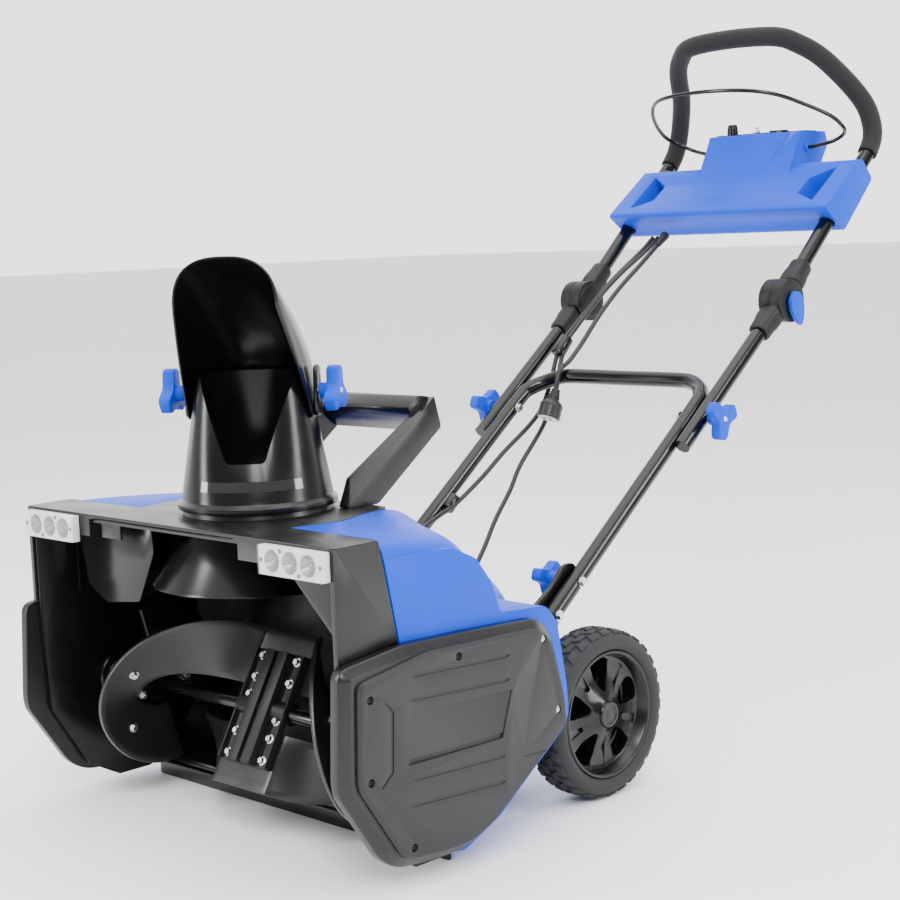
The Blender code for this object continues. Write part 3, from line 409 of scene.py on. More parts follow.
def surface(name, colour, roughness, metallic=0.0, grain=0.0, grain_size=0.0008, mottle=0.06, spread=0.06,
            coat=0.0, sheen=0.0, shine=0.5):
    """A moulded or painted surface: slight colour and gloss variation, and a fine relief."""
    material = bpy.data.materials.new(name)
    material.use_nodes = True
    nodes = material.node_tree.nodes
    links = material.node_tree.links
    shader = nodes["Principled BSDF"]
    set_inputs(shader, {"Metallic": metallic, "Specular IOR Level": shine, "Coat Weight": coat, "Coat Roughness": 0.08,
                        "Sheen Weight": sheen})
    where = nodes.new("ShaderNodeTexCoord")
    clouds = nodes.new("ShaderNodeTexNoise")
    set_inputs(clouds, {"Scale": 14, "Detail": 5})
    links.new(where.outputs["Object"], clouds.inputs["Vector"])
    tint = nodes.new("ShaderNodeMix")
    tint.data_type = "RGBA"
    set_inputs(tint, {"A": (*[c * (1 - mottle) for c in colour], 1),
                      "B": (*[min(1.0, c * (1 + mottle)) for c in colour], 1)})
    links.new(clouds.outputs["Fac"], tint.inputs["Factor"])
    links.new(tint.outputs["Result"], shader.inputs["Base Color"])
    gloss = nodes.new("ShaderNodeMapRange")
    set_inputs(gloss, {"From Min": 0.3, "From Max": 0.7, "To Min": max(0.02, roughness - spread),
                       "To Max": min(1.0, roughness + spread)})
    links.new(clouds.outputs["Fac"], gloss.inputs["Value"])
    links.new(gloss.outputs["Result"], shader.inputs["Roughness"])
    if grain:
        speckle = nodes.new("ShaderNodeTexNoise")
        set_inputs(speckle, {"Scale": 1 / grain_size, "Detail": 3})
        links.new(where.outputs["Object"], speckle.inputs["Vector"])
        relief = nodes.new("ShaderNodeBump")
        set_inputs(relief, {"Strength": grain, "Distance": grain_size * 0.4})
        links.new(speckle.outputs["Fac"], relief.inputs["Height"])
        links.new(relief.outputs["Normal"], shader.inputs["Normal"])
    return material


def lens_surface():
    """Clear plastic: what lies behind it shows through, under a faint gloss."""
    material = surface("lens", (0.9, 0.92, 0.94), 0.06, mottle=0.02, spread=0.02)
    material.node_tree.nodes["Principled BSDF"].inputs["Alpha"].default_value = 0.1
    return material


BLUE = surface("blue_moulding", (0.0005, 0.05, 0.56), 0.42, grain=0.1, grain_size=0.0007,
               mottle=0.04, shine=0.14)
BLACK = surface("gloss_black_moulding", (0.0035, 0.0035, 0.004), 0.22, grain=0.05, grain_size=0.001,
                mottle=0.2, shine=0.34)
COWL = surface("cowl_black_moulding", (0.006, 0.006, 0.0065), 0.32, grain=0.14, grain_size=0.0006,
               mottle=0.12, shine=0.36)
MATTE = surface("matte_charcoal_moulding", (0.0125, 0.0127, 0.0135), 0.46, grain=0.25,
                grain_size=0.0006, mottle=0.06, shine=0.34)
RUBBER = surface("paddle_rubber", (0.0055, 0.0055, 0.0062), 0.32, grain=0.12, grain_size=0.0012,
                 mottle=0.2, shine=0.45)
TYRE = surface("tyre_rubber", (0.02, 0.02, 0.021), 0.7, grain=0.35, grain_size=0.001, mottle=0.12,
               shine=0.3)
PAINT = surface("gloss_black_paint", (0.003, 0.003, 0.0033), 0.16, grain=0.04, grain_size=0.0012,
                coat=0.08, shine=0.3)
KNUCKLE = surface("knuckle_moulding", (0.0055, 0.0056, 0.006), 0.48, grain=0.2, grain_size=0.0006,
                  mottle=0.06, shine=0.26)
ZINC = surface("zinc_plated_steel", (0.68, 0.69, 0.7), 0.26, metallic=1.0, grain=0.08, grain_size=0.0005)
STEEL = surface("bare_steel", (0.5, 0.5, 0.51), 0.36, metallic=1.0, grain=0.1, grain_size=0.0006)
FOAM = surface("grip_foam", (0.01, 0.01, 0.0104), 0.88, grain=0.55, grain_size=0.0011, mottle=0.15,
               sheen=0.1, shine=0.25)
CORD = surface("cord_jacket", (0.006, 0.006, 0.0065), 0.4, grain=0.12, grain_size=0.0006, shine=0.4)
LAMP = surface("lamp_housing", (0.62, 0.63, 0.64), 0.34, grain=0.7, grain_size=0.0018, mottle=0.18)
CHROME = surface("lamp_reflector", (0.17, 0.175, 0.18), 0.3, metallic=1.0, mottle=0.05, spread=0.04)
WHITE = surface("plug_face", (0.55, 0.55, 0.53), 0.4, grain=0.1, grain_size=0.0006)
BADGE = surface("chute_strip", (0.02, 0.02, 0.021), 0.1, mottle=0.05, spread=0.03, shine=0.6)
LENS = lens_surface()


# ---- camera, floor and light ------------------------------------------------------------------

def make_camera():
    """The camera, 45 degrees round from the front and 7 degrees above level."""
    azimuth, elevation, roll = math.radians(44.78), math.radians(6.92), math.radians(-2.23)
    back = Vector((math.sin(azimuth) * math.cos(elevation), -math.cos(azimuth) * math.cos(elevation),
                   math.sin(elevation)))
    level = Vector((math.cos(azimuth), math.sin(azimuth), 0))
    upright = back.cross(level)
    right = level * math.cos(roll) + upright * math.sin(roll)
    up = upright * math.cos(roll) - level * math.sin(roll)
    camera = new_object("camera", bpy.data.cameras.new("camera"))
    camera.data.sensor_width = 36
    camera.data.lens = 71.4
    camera.data.clip_end = 60
    camera.matrix_world = axes(Vector((1.599, FRONT - 1.16, 0.679)), right, up, back)
    bpy.context.scene.camera = camera


def area_light(name, spot, target, size, power):
    light = bpy.data.lights.new(name, "AREA")
    light.shape = "RECTANGLE"
    light.size, light.size_y = size
    light.energy = power
    lamp = new_object(name, light)
    lamp.location = spot
    lamp.rotation_euler = (Vector(target) - Vector(spot)).to_track_quat("-Z", "Y").to_euler()


def make_stage():
    """A pale floor, a world that is brightest opposite the camera, and soft studio light."""
    work = bmesh.new()
    bmesh.ops.create_grid(work, x_segments=1, y_segments=1, size=40)
    floor = from_bmesh("floor", work)
    floor.location.z = -0.0006
    pale = surface("pale_floor", (0.95, 0.95, 0.95), 0.95, mottle=0.005, shine=0.1)
    floor.data.materials.append(pale)
    world = bpy.data.worlds.new("studio")
    world.use_nodes = True
    nodes = world.node_tree.nodes
    links = world.node_tree.links
    where = nodes.new("ShaderNodeTexCoord")
    facing = nodes.new("ShaderNodeVectorMath")
    facing.operation = "DOT_PRODUCT"
    facing.inputs[1].default_value = (-0.704, 0.71, 0.0)
    links.new(where.outputs["Generated"], facing.inputs[0])
    glow = nodes.new("ShaderNodeMapRange")
    set_inputs(glow, {"From Min": 0.15, "From Max": 0.8, "To Min": 0.42, "To Max": 2.6})
    links.new(facing.outputs["Value"], glow.inputs["Value"])
    backdrop = nodes["Background"]
    backdrop.inputs["Color"].default_value = (1.0, 1.0, 1.0, 1)
    links.new(glow.outputs["Result"], backdrop.inputs["Strength"])
    bpy.context.scene.world = world
    area_light("key", (2.4, -2.4, 2.6), (0, 0, 0.3), (0.9, 2.2), 120)
    area_light("left_strip", (-1.6, -2.6, 1.5), (0, -0.3, 0.4), (0.5, 2.2), 75)
    area_light("right_strip", (2.8, 0.9, 1.5), (0, 0, 0.4), (0.6, 2.2), 70)
    area_light("top", (0.2, -0.2, 3.0), (0, 0, 0), (2.4, 2.4), 60)
    sky = bpy.data.lights.new("sky", "SUN")
    sky.energy = 2.6
    sky.angle = math.radians(100)
    lamp = new_object("sky", sky)
    lamp.rotation_euler = (math.radians(8), math.radians(6), 0)


make_camera()
make_stage()


# ---- cords and cables -------------------------------------------------------------------------

MOTOR_CABLE = [
    (-0.127, 1.0435, 0.66), (-0.133, 1.021, 0.64), (-0.145, 0.98, 0.608), (-0.15, 0.933, 0.575),
    (-0.153, 0.88, 0.533), (-0.153, 0.846, 0.505), (-0.148, 0.815, 0.45), (-0.144, 0.79, 0.418),
    (-0.143, 0.76, 0.395), (-0.142, 0.705, 0.364), (-0.14, 0.655, 0.333), (-0.139, 0.599, 0.303),
    (-0.137, 0.555, 0.288), (-0.131, 0.505, 0.269), (-0.124, 0.46, 0.237), (-0.12, 0.4185, 0.1985),
]
LAMP_CABLE = [
    (-0.117, 1.0435, 0.66), (-0.123, 1.019, 0.64), (-0.137, 0.977, 0.609), (-0.1415, 0.93, 0.576),
    (-0.144, 0.878, 0.534), (-0.144, 0.846, 0.504), (-0.135, 0.812, 0.442), (-0.132, 0.78, 0.395),
    (-0.125, 0.72, 0.344), (-0.115, 0.686, 0.313), (-0.1, 0.637, 0.278), (-0.08, 0.589, 0.244),
    (-0.058, 0.53, 0.208), (-0.038, 0.465, 0.178), (-0.028, 0.4185, 0.1655),
]
CORD_ROUTE = [
    (-0.1, 1.018, 0.648), (-0.102, 0.978, 0.62), (-0.104, 0.932, 0.589), (-0.105, 0.885, 0.552),
    (-0.107, 0.842, 0.51), (-0.1085, 0.813, 0.4855), (-0.109, 0.7985, 0.479), (-0.109, 0.7905, 0.468),
    (-0.109, 0.787, 0.456), (-0.109, 0.7855, 0.449),
]
RELIEF_TOP = (-0.099, 1.0385, 0.6635)


def ribbed_cone(name, start, end, radius_start, radius_end, ribs):
    """A tapered strain relief with rings round it."""
    length = (end - start).length
    profile = [(0, 0)]
    for k in range(ribs):
        for share, dip in ((0.0, 0.0), (0.62, 0.0), (0.66, 0.16), (0.96, 0.16)):
            t = (k + share) / ribs
            radius = radius_start + (radius_end - radius_start) * t
            profile.append((radius * (1 - dip), length * t))
    profile += [(radius_end, length), (0, length)]
    axis = (end - start).normalized()
    side = axis.orthogonal().normalized()
    return turned(name, profile, axes(start, side, axis.cross(side), axis), 32)


PLUG_FACE = 0.0452


def pigtail():
    """The short cord that hangs from the console, with its relief and its plug."""
    route = smooth_route([place(*point) for point in CORD_ROUTE])
    top = place(*RELIEF_TOP)
    line = wire("pigtail_cord", [top, top.lerp(route[0], 0.5)] + route, CORD_RADIUS)
    show(line, CORD, "upper", "power_cord")
    away = (route[0] - top).normalized()
    relief = ribbed_cone("pigtail_relief", top, route[0] - away * GAP, 0.007, 0.0046, 6)
    show(relief, CORD, "upper", "cord_relief", edge=0.0003)

    lean = Vector((0, -0.45, -0.89)).normalized()
    start = route[-1] + lean * 0.0013
    up = lean.cross(X)
    grip = ribbed_cone("plug_relief", start, start + lean * 0.019, 0.006, 0.0098, 5)
    body = turned("plug_body", [(0, 0.017), (0.01, 0.0172), (0.014, 0.02), (0.0168, 0.024), (0.017, 0.027),
                                (0.0166, 0.0275), (0.0166, 0.033), (0.017, 0.0335), (0.017, 0.044),
                                (0.015, 0.0452), (0.0145, 0.044), (0, 0.044)],
                  axes(start, X, up, lean), 48)
    for k in range(10):
        angle = math.tau * k / 10
        out = X * math.cos(angle) + up * math.sin(angle)
        centre = start + lean * 0.039 + out * 0.0172
        notch = bar("notch", 0.0014, centre - lean * 0.006, centre + lean * 0.008, segments=12)
        cut(body, notch)
    plug = merge("pigtail_plug", [grip, settle(body)])
    show(plug, CORD, "upper", "cord_plug")
    face = bar("plug_face", 0.0146, start + lean * 0.0438, start + lean * PLUG_FACE, segments=48)
    show(face, WHITE, "upper", edge=0.0004)
    blades = []
    for u in (-0.006, 0.006):
        blade = box("blade", (-0.0008, -0.0034, -0.0001), (0.0008, 0.0034, 0.0006))
        blade.data.transform(Matrix.Translation((0, -FRONT, 0)))
        blade.matrix_world = axes(start + lean * PLUG_FACE + X * u + up * 0.002, X, up, lean)
        blades.append(blade)
    blades.append(bar("earth", 0.0024, start + lean * 0.0451 - up * 0.0062, start + lean * 0.0457 - up * 0.0062,
                      segments=20))
    show(merge("plug_slots", blades), BLACK, "upper")


def leads():
    """The two cables down the frame, each a fixed curve past the handle's fold."""
    for name, node, points in (("motor_lead", "motor_cable", MOTOR_CABLE), ("lamp_lead", "lamp_cable", LAMP_CABLE)):
        lead = wire(name, smooth_route([place(*point) for point in points]), LEAD_RADIUS)
        tube = new_object(name, mesh_of(lead))
        bpy.data.objects.remove(lead)
        tube.name = name
        show(tube, CORD, None, node, angle=60)
        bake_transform(tube)


pigtail()
leads()


# ---- housing, cowl and body -------------------------------------------------------------------

TONGUE = [(0.135, 0.064), (0.15, 0.128), (0.131, 0.19), (0.119, 0.225)]
BODY_SIDE = [
    (0.058, 0.3495), (0.08, 0.257), (0.08, 0.03), (0.17, 0.0125), (0.204, 0.026), (0.228, 0.036),
    (0.338, 0.11), (0.349, 0.126), (0.347, 0.16), (0.334, 0.236), (0.315, 0.258), (0.24, 0.264),
    (0.228, 0.3), (0.205, 0.33), (0.17, 0.346), (0.125, 0.3495),
]
COVER_SIDE = [
    (-0.011, 0.25), (0.076, 0.26), (0.18, 0.2565), (0.287, 0.2505), (0.307, 0.23), (0.326, 0.161),
    (0.3275, 0.128), (0.3165, 0.118), (0.2135, 0.0472), (0.194, 0.0352), (0.16, 0.021), (0.121, 0.021),
    (0.064, 0.026), (0.049, 0.032), (0.034, 0.044), (-0.016, 0.12), (-0.018, 0.135),
]
COVER_FACE = [
    (0.005, 0.235), (0.106, 0.25), (0.277, 0.2425), (0.296, 0.227), (0.317, 0.156), (0.319, 0.129),
    (0.312, 0.12), (0.211, 0.053), (0.19, 0.041), (0.158, 0.03), (0.121, 0.03),
    (0.072, 0.0345), (0.055, 0.044), (0.002, 0.124), (0.0, 0.135),
]
HUMP_FLOOR = 0.205
# Each station of the hump: d, then the height of its top, the half widths there and at its foot, and its shoulder.
HUMP = [
    (0.056, 0.3704, 0.262, 0.2765, 0.3585), (0.12, 0.3704, 0.236, 0.276, 0.3515),
    (0.19, 0.3704, 0.172, 0.268, 0.338), (0.235, 0.365, 0.128, 0.25, 0.3),
    (0.29, 0.34, 0.105, 0.222, 0.262), (0.345, 0.306, 0.09, 0.188, 0.245),
    (0.3945, 0.269, 0.07, 0.15, 0.22),
]


def hump(name, inset=0.0):
    """The raised middle of the body, lofted from front to back through the stations of HUMP."""
    stations = []
    for rows in zip(HUMP[:1] + HUMP, HUMP, HUMP[1:], HUMP[2:] + HUMP[-1:]):
        stations += [[hermite(*values, k / 6) for values in zip(*rows)] for k in range(6)]
    steps = 12
    rings = []
    for d, *levels in stations + HUMP[-1:]:
        top, flat, base, shoulder = (level - inset for level in levels)
        half = [(base, HUMP_FLOOR), (base, shoulder)]
        for k in range(1, steps):
            t = k / steps
            bulge = 0.16 * math.sin(math.pi * t)
            half.append((base + (flat - base) * (t - bulge * (1 - t)),
                         shoulder + (top - shoulder) * (t + bulge * (1 - t))))
        half.append((flat, top))
        rings.append([place(x, d, z) for x, z in mirrored(half)])
    return stacked(name, rings)


def below_hump(name, outline, half_width, inset):
    """A side outline as wide as stated, with the corners that would stand out of the hump taken off."""
    part = side_plate(name, outline, -half_width, half_width)
    room = hump(name + "_room", inset)
    join(room, box(name + "_low", (-0.32, -0.15, -0.1), (0.32, 0.45, 0.268 - inset)),
         box(name + "_front", (-0.31, -0.14, -0.09), (0.31, 0.0645 - (inset - 0.005), 0.45)))
    return combine(part, room, "INTERSECT")


def auger_arc(radius):
    """The part of a circle round the auger that the housing's back follows."""
    return arc(AUGER_AXIS, radius, 0, -66, 28)


def housing():
    """The auger housing, its bearing bosses, and the small pieces under the front lip."""
    outside = [(0.003, 0.24), (0.003, 0.3655), (0.243, 0.3655)] + auger_arc(0.128)
    outside += [(0.15, 0.012), (0.102, 0.012), (0.058, 0.036), (0.01, 0.115)]
    inside = [(-0.05, 0.3615), (0.239, 0.3615)] + auger_arc(0.124)
    inside += [(0.15, -0.02), (-0.05, -0.02)]
    part = below_hump("housing_shell", outside, HOUSING_HALF_WIDTH, 0.0058)
    cut(part, below_hump("auger_room", inside, HOUSING_HALF_WIDTH - 0.004, 0.0098),
        chute_bar("hole", CHUTE_BORE, 0.35, 0.4, 72),
        cross_bar("bearing_holes", BEARING_HOLE, -0.3, 0.3, AUGER_AXIS))
    show(part, BLACK, "chassis", "auger_housing", edge=0.001)

    for side in (-1, 1):
        wall = side * 0.2678
        boss = turned("bearing_boss", [(0.0125, 0.0), (0.034, 0.0), (0.032, 0.0035), (0.0215, 0.0045),
                                       (0.0205, 0.002), (0.0125, 0.002)],
                      axes(place(wall, *AUGER_AXIS), Y * -side, Z, X * -side), 48)
        show(boss, BLACK, "chassis", edge=0.0006)
    pocket = [(-0.24, 0.36), (-0.098, 0.36), (-0.0945, 0.3226), (-0.1283, 0.2605), (-0.195, 0.252),
              (-0.2317, 0.2707), (-0.2437, 0.325)]
    front = [place(x, 0.05, z) for x, z in rounded(pocket, 0.004, 3)]
    back = [place(-0.165 + (x + 0.165) * 0.9, 0.078, 0.33 + (z - 0.33) * 0.92 + 0.002)
            for x, z in rounded(pocket, 0.004, 3)]
    show(stacked("chute_lock_box", [front, back]), BLACK, "chassis", edge=0.0018)
    tab = box("lip_tab", (-0.1285, 0.0035, 0.345), (-0.092, 0.007, 0.3655))
    show(tab, COWL, "chassis", edge=0.0008)
    pan_edge = box("pan_edge", (-0.27, 0.1661, 0.0125), (0.27, 0.1675, 0.0275))
    show(pan_edge, BLACK, "chassis", edge=0.0004)
    brace = plate("light_brace", [(0.15, 0.36), (0.268, 0.36), (0.268, 0.268), (0.256, 0.262)], 0.003,
                  axes(place(0, 0.026, 0), X, Z, X.cross(Z)))
    show(brace, BLACK, "chassis", edge=0.0008)


def cowl():
    """The flat front cowl with its side flaps, its lip and the chute's seat."""
    deck = rounded(mirrored([(HALF_WIDTH, 0.0), (HALF_WIDTH, 0.062)] + TONGUE), 0.006)
    part = level_plate("deck_cowl", deck, DECK_Z - 0.0052, DECK_Z)
    flap = [(0.0, DECK_Z - 0.001), (0.062, DECK_Z - 0.001), (0.0835, 0.2615), (0.0, 0.2515)]
    for side in (-1, 1):
        join(part, side_plate("flap", flap, side * (HOUSING_HALF_WIDTH + GAP), side * HALF_WIDTH))
    join(part, box("lip_right", (-HALF_WIDTH + 0.001, 0.0, 0.345), (-0.148, 0.0032, 0.3685)),
         box("lip_left", (0.126, 0.0, 0.345), (HALF_WIDTH - 0.001, 0.0032, 0.3685)))
    cut(part, level_plate("front_notch", [(-0.148, -0.01), (-0.138, 0.0065), (0.116, 0.0065), (0.126, -0.01)],
                          0.358, 0.3675))
    join(part, chute_bar("seat", 0.0872, DECK_Z - 0.004, 0.377))
    cut(part, chute_bar("bore", CHUTE_BORE, 0.34, 0.4))
    show(part, COWL, "chassis", "front_cowl", edge=0.0012)


def body():
    """The blue shell: a side profile and the hump, less the room for what it holds."""
    width = HALF_WIDTH - 0.0005
    pocket_width = HOUSING_HALF_WIDTH + 0.0007
    part = side_plate("body_moulding", rounded(BODY_SIDE, 0.006, 3), -width, width)
    rear = rounded([
        (0.28, 0.06), (0.28, 0.245), (0.347, 0.248), (0.39, 0.234), (0.415, 0.21), (0.415, 0.12),
        (0.398, 0.07), (0.33, 0.05),
    ], 0.01, 4)
    ear = rounded([(0.39, 0.15), (0.445, 0.125), (0.456, 0.102), (0.445, 0.084), (0.38, 0.07)], 0.01, 4)
    join(part, hump("hump"), side_plate("rear_block", rear, -0.19, 0.19))
    for side in (-1, 1):
        join(part, side_plate("axle_ear", ear, side * 0.178, side * 0.188))
    front_space = [(-0.1, 0.42), (0.0653, 0.42), (0.0653, 0.3705), (0.0871, 0.257), (0.0871, -0.05), (-0.1, -0.05)]
    pocket = [(-0.1, 0.3659), (0.2435, 0.3659)] + auger_arc(0.1285)
    pocket += [(0.1675, -0.05), (-0.1, -0.05)]
    side_space = [
        (0.235, 0.2), (0.235, 0.255), (0.31, 0.253), (0.329, 0.233), (0.338, 0.19), (0.34, 0.162),
        (0.335, 0.14), (0.33, 0.12), (0.327, 0.1085), (0.226, 0.0415), (0.2, 0.031), (0.18, 0.03),
    ]
    rear_space = [
        (0.25, 0.1), (0.25, 0.246), (0.342, 0.2455), (0.389, 0.231), (0.411, 0.208), (0.411, 0.121),
        (0.395, 0.0745), (0.33, 0.055),
    ]
    tongue = [(x + 0.0006, d) for x, d in TONGUE]
    tongue = [(tongue[0][0], 0.05)] + tongue[:-1] + [(tongue[-1][0], 0.2256)]
    hump_room = combine(hump("hump_space", 0.0048),
                        box("hump_limits", (-0.3, 0.244, 0.1), (0.3, 0.387, 0.45)), "INTERSECT")
    cut(
        part,
        side_plate("front_space", front_space, -0.3, 0.3),
        below_hump("housing_pocket", pocket, pocket_width, 0.005),
        side_plate("side_space", side_space, -pocket_width, pocket_width),
        hump_room,
        side_plate("rear_space", rear_space, -0.178, 0.178),
        level_plate("tongue_space", mirrored(tongue), 0.36, 0.39),
        cross_bar("bearing_clearance", BEARING_HOLE, -0.3, 0.3, AUGER_AXIS),
        cross_bar("axle_hole", AXLE_HOLE, -0.2, 0.2, WHEEL_AXIS),
        cross_bar("left_arch", WHEEL_ARCH, 0.1905, pocket_width, WHEEL_AXIS, 96),
        cross_bar("right_arch", WHEEL_ARCH, -0.1905, -pocket_width, WHEEL_AXIS, 96),
    )
    show(part, BLUE, "chassis", "body_shell", edge=0.0016, angle=38)


def bolt_head(spot, axis, radius, height, hexed=True, socket=0.0):
    """A screw or bolt head that stands on a surface."""
    side = axis.orthogonal().normalized()
    matrix = axes(spot, side, axis.cross(side), axis)
    washer = turned("washer", [(0, 0), (radius * 1.35, 0), (radius * 1.35, height * 0.22), (0, height * 0.22)],
                    matrix, 28)
    if hexed:
        rings = [[(u, v, height * h) for u, v in circle(radius * r, 6)]
                 for h, r in ((0.2, 1.0), (0.88, 1.0), (1.0, 0.88))]
        head = stacked("head", rings, matrix)
    else:
        head = turned("head", [(0, height), (radius * 0.55, height * 0.95), (radius * 0.92, height * 0.62),
                               (radius, height * 0.2), (0, height * 0.2)], matrix, 28)
        if socket:
            cut(head, bar("socket", radius * socket, spot + axis * height * 0.45, spot + axis * height * 1.2,
                          segments=6))
    return [washer, settle(head)]


def cover(name, side, node):
    """A side cover: a tray with a wide chamfer, a raised panel with ribs, a blank label field and sunk screws."""
    outline = rounded(COVER_SIDE, 0.012, 5)
    area = sum(a[0] * b[1] - b[0] * a[1] for a, b in zip(outline, outline[1:] + outline[:1]))
    turn = 1 if area > 0 else -1
    well, outside = 0.299, 0.32

    def shrunk(amount):
        """The outline, moved inwards."""
        found = []
        for a, b, c in zip(outline[-1:] + outline, outline, outline[1:] + outline[:1]):
            run = (Vector(c) - Vector(a)).normalized()
            b = Vector(b)
            found.append((b.x - run.y * amount * turn, b.y + run.x * amount * turn))
        return found

    part = stacked(name, [at_side(side * x, points) for x, points in (
        (HALF_WIDTH + GAP, outline), (0.289, outline), (0.2912, shrunk(0.0015)), (0.296, shrunk(0.01)),
        (0.2968, shrunk(0.0108)))])
    show(part, COWL, "chassis", node, edge=0.0007)
    face = rounded(COVER_FACE, 0.01, 5)
    centre = Vector((0.16, 0.14))
    crest = [tuple(centre + (Vector(p) - centre) * 0.975) for p in face]
    panel = stacked("panel", [at_side(side * x, points) for x, points in (
        (0.294, face), (0.3, face), (0.3025, crest))])

    def sink(piece, points, x):
        """Cuts an outline into the panel, down to x."""
        cut(panel, side_plate(piece, points, side * x, side * outside))

    label = [(0.0734, 0.1914), (0.228, 0.1838), (0.2109, 0.1329), (0.0687, 0.1364)]
    sink("label_field", rounded(label, 0.003, 3), 0.3012)
    sink("label_trough", [(0.0688, 0.1366), (0.2106, 0.1331), (0.213, 0.1384), (0.069, 0.1422)], well)
    sink("rear_facet", [(0.231, 0.1835), (0.279, 0.235), (0.32, 0.235), (0.33, 0.1), (0.242, 0.104)], 0.3017)
    for start, end in (((0.0756, 0.2298), (0.2267, 0.2219)), ((0.0713, 0.2055), (0.2254, 0.1955)),
                       ((0.0722, 0.1207), (0.2147, 0.113)), ((0.0677, 0.0941), (0.2132, 0.0842))):
        start, end = Vector(start), Vector(end)
        step = (end - start).normalized()
        taper, up = step * 0.006, Vector((-step.y, step.x)) * 0.0022
        rib = [start, start + taper + up, end - taper + up, end, end - taper - up, start + taper - up]
        sink("rib", [tuple(p) for p in rib], 0.3013)
    sink("groove", [(0.0404, 0.2091), (0.051, 0.1974), (0.0473, 0.1343), (0.031, 0.1206), (0.029, 0.1226),
                    (0.0433, 0.1355), (0.047, 0.196), (0.038, 0.207)], 0.3011)
    front_spots = [(0.019, 0.216), (0.016, 0.131), (0.072, 0.048), (0.148, 0.236)]
    rear_spots = [(0.283, 0.229), (0.304, 0.144)]
    for spot in front_spots + rear_spots:
        cut(panel, cross_bar("screw_well", 0.0046, side * well, side * outside, spot, 32))
    show(panel, MATTE, "chassis", edge=0.0006)
    for ending, material, spots in (("_rear_screws", ZINC, rear_spots), ("_front_screws", PAINT, front_spots)):
        heads = []
        for spot in spots:
            heads += bolt_head(place(side * 0.2991, *spot), X * side, 0.0031, 0.003, hexed=False, socket=0.42)
        show(merge(name + ending, heads), material, "chassis", slot="steel")


def bottom_parts():
    """The scraper under the housing, and the funnel between the housing and the chute."""
    blade = box("scraper_blade", (-0.262, 0.1605, 0.0), (0.262, 0.166, 0.0182))
    show(blade, COWL, "chassis", "scraper_bar", edge=0.0012)
    profile = [(0.0795, 0.3566), (0.0825, 0.3566), (0.086, 0.35), (0.1235, 0.294), (0.1265, 0.291),
               (0.1235, 0.291), (0.0835, 0.349), (0.0795, 0.353)]
    funnel = turned("funnel", profile, Matrix.Translation(place(0, CHUTE_AXIS_D, 0)), 96)
    cut(funnel, box("back_trim", (-0.2, 0.2375, 0.2), (0.2, 0.3, 0.4)))
    show(funnel, BLACK, "chassis", "chute_funnel", edge=0.0006)


def lights():
    """Two lamps of three cups each, behind flat lenses. The right one sits a little nearer the middle."""
    bottom, top = 0.337, 0.368
    for name, side, inset in (("left", 1, 0.0), ("right", -1, 0.0055)):
        def at(x, out, z=LAMP_Z):
            return place(side * (x - inset), out, z)

        x0, x1 = sorted((side * (0.1735 - inset), side * (0.2735 - inset)))
        block = box("lamp_" + name, (x0, -0.0105, bottom), (x1, -GAP, top))
        cups = []
        for x in (0.194, 0.2222, 0.2504):
            cut(block, bar("cup_hole", 0.0116, at(x, -0.002), at(x, -0.0125), segments=48))
            cups.append(turned("cup", [(0.0048, -0.0078), (0.011, 0.0), (0.0115, 0.0), (0.0115, -0.0004),
                                       (0.011, -0.001), (0.0052, -0.0088), (0.0, -0.0088), (0.0, -0.0078)],
                               axes(at(x, -0.0106), X, Z, -Y), 48))
            cups.append(turned("bulb", [(0.0, 0.0045), (0.0022, 0.0038), (0.0034, 0.0018), (0.0036, 0.0), (0, 0)],
                               axes(at(x, -0.0028), X, Z, -Y), 24))
        screws = [bar("screw", 0.0024, at(x, -0.01, z), at(x, -0.0111, z), segments=20)
                  for x, z in ((0.1775, LAMP_Z), (0.2696, LAMP_Z), (0.2082, 0.364), (0.2364, 0.341))]
        show(block, LAMP, "chassis", "headlight_" + name, edge=0.001)
        show(merge("reflectors_" + name, cups), CHROME, "chassis")
        show(merge("lamp_screws_" + name, screws), MATTE, "chassis")
        lens = box("lens_" + name, (x0, -0.0123, bottom), (x1, -0.0112, top))
        show(lens, LENS, "chassis", "headlight_lens_" + name, edge=0.0005)


def lifting_handle():
    """The carry handle: a bar on two tapered legs."""
    grip = rounded([(0.3, 0.4745), (0.318, 0.489), (0.337, 0.486), (0.34, 0.454), (0.331, 0.4425),
                    (0.314, 0.456)], 0.005, 3)
    part = side_plate("lift_handle", grip, -0.082, 0.082)
    inner = [(0.186, 0.3713), (0.2, 0.404), (0.318, 0.4745), (0.338, 0.487), (0.3405, 0.45), (0.233, 0.3713)]
    outer = [(0.184, 0.3713), (0.188, 0.379), (0.31, 0.471), (0.33, 0.488), (0.34, 0.45), (0.2325, 0.3713)]
    for side in (-1, 1):
        rings = [at_side(side * x, rounded(shape, 0.003, 2))
                 for x, shape in ((0.08, inner), (0.085, inner), (0.0974, outer))]
        join(part, stacked("leg", rings))
    show(part, COWL, "chassis", "carry_handle", edge=0.0015)


housing()
cowl()
body()
cover("drive_cover", 1, "belt_cover")
cover("plain_cover", -1, "side_cover")
bottom_parts()
lights()
lifting_handle()


# ---- auger ------------------------------------------------------------------------------------

FLAT_HALF = 0.0465
BLADE_END = 0.205


def along_shaft(q):
    """How far along the shaft the blade is at share q of its sweep from the flat."""
    run = math.sin(math.pi / 2 * min(1.0, q / 0.667))
    return FLAT_HALF + (BLADE_END - FLAT_HALF) * run


def round_shaft(x, radius, angle):
    """The point at x from the auger's middle, and at the radius and angle round the shaft."""
    return place(AUGER_MIDDLE, *AUGER_AXIS) + Vector((x, -radius * math.sin(angle), radius * math.cos(angle)))


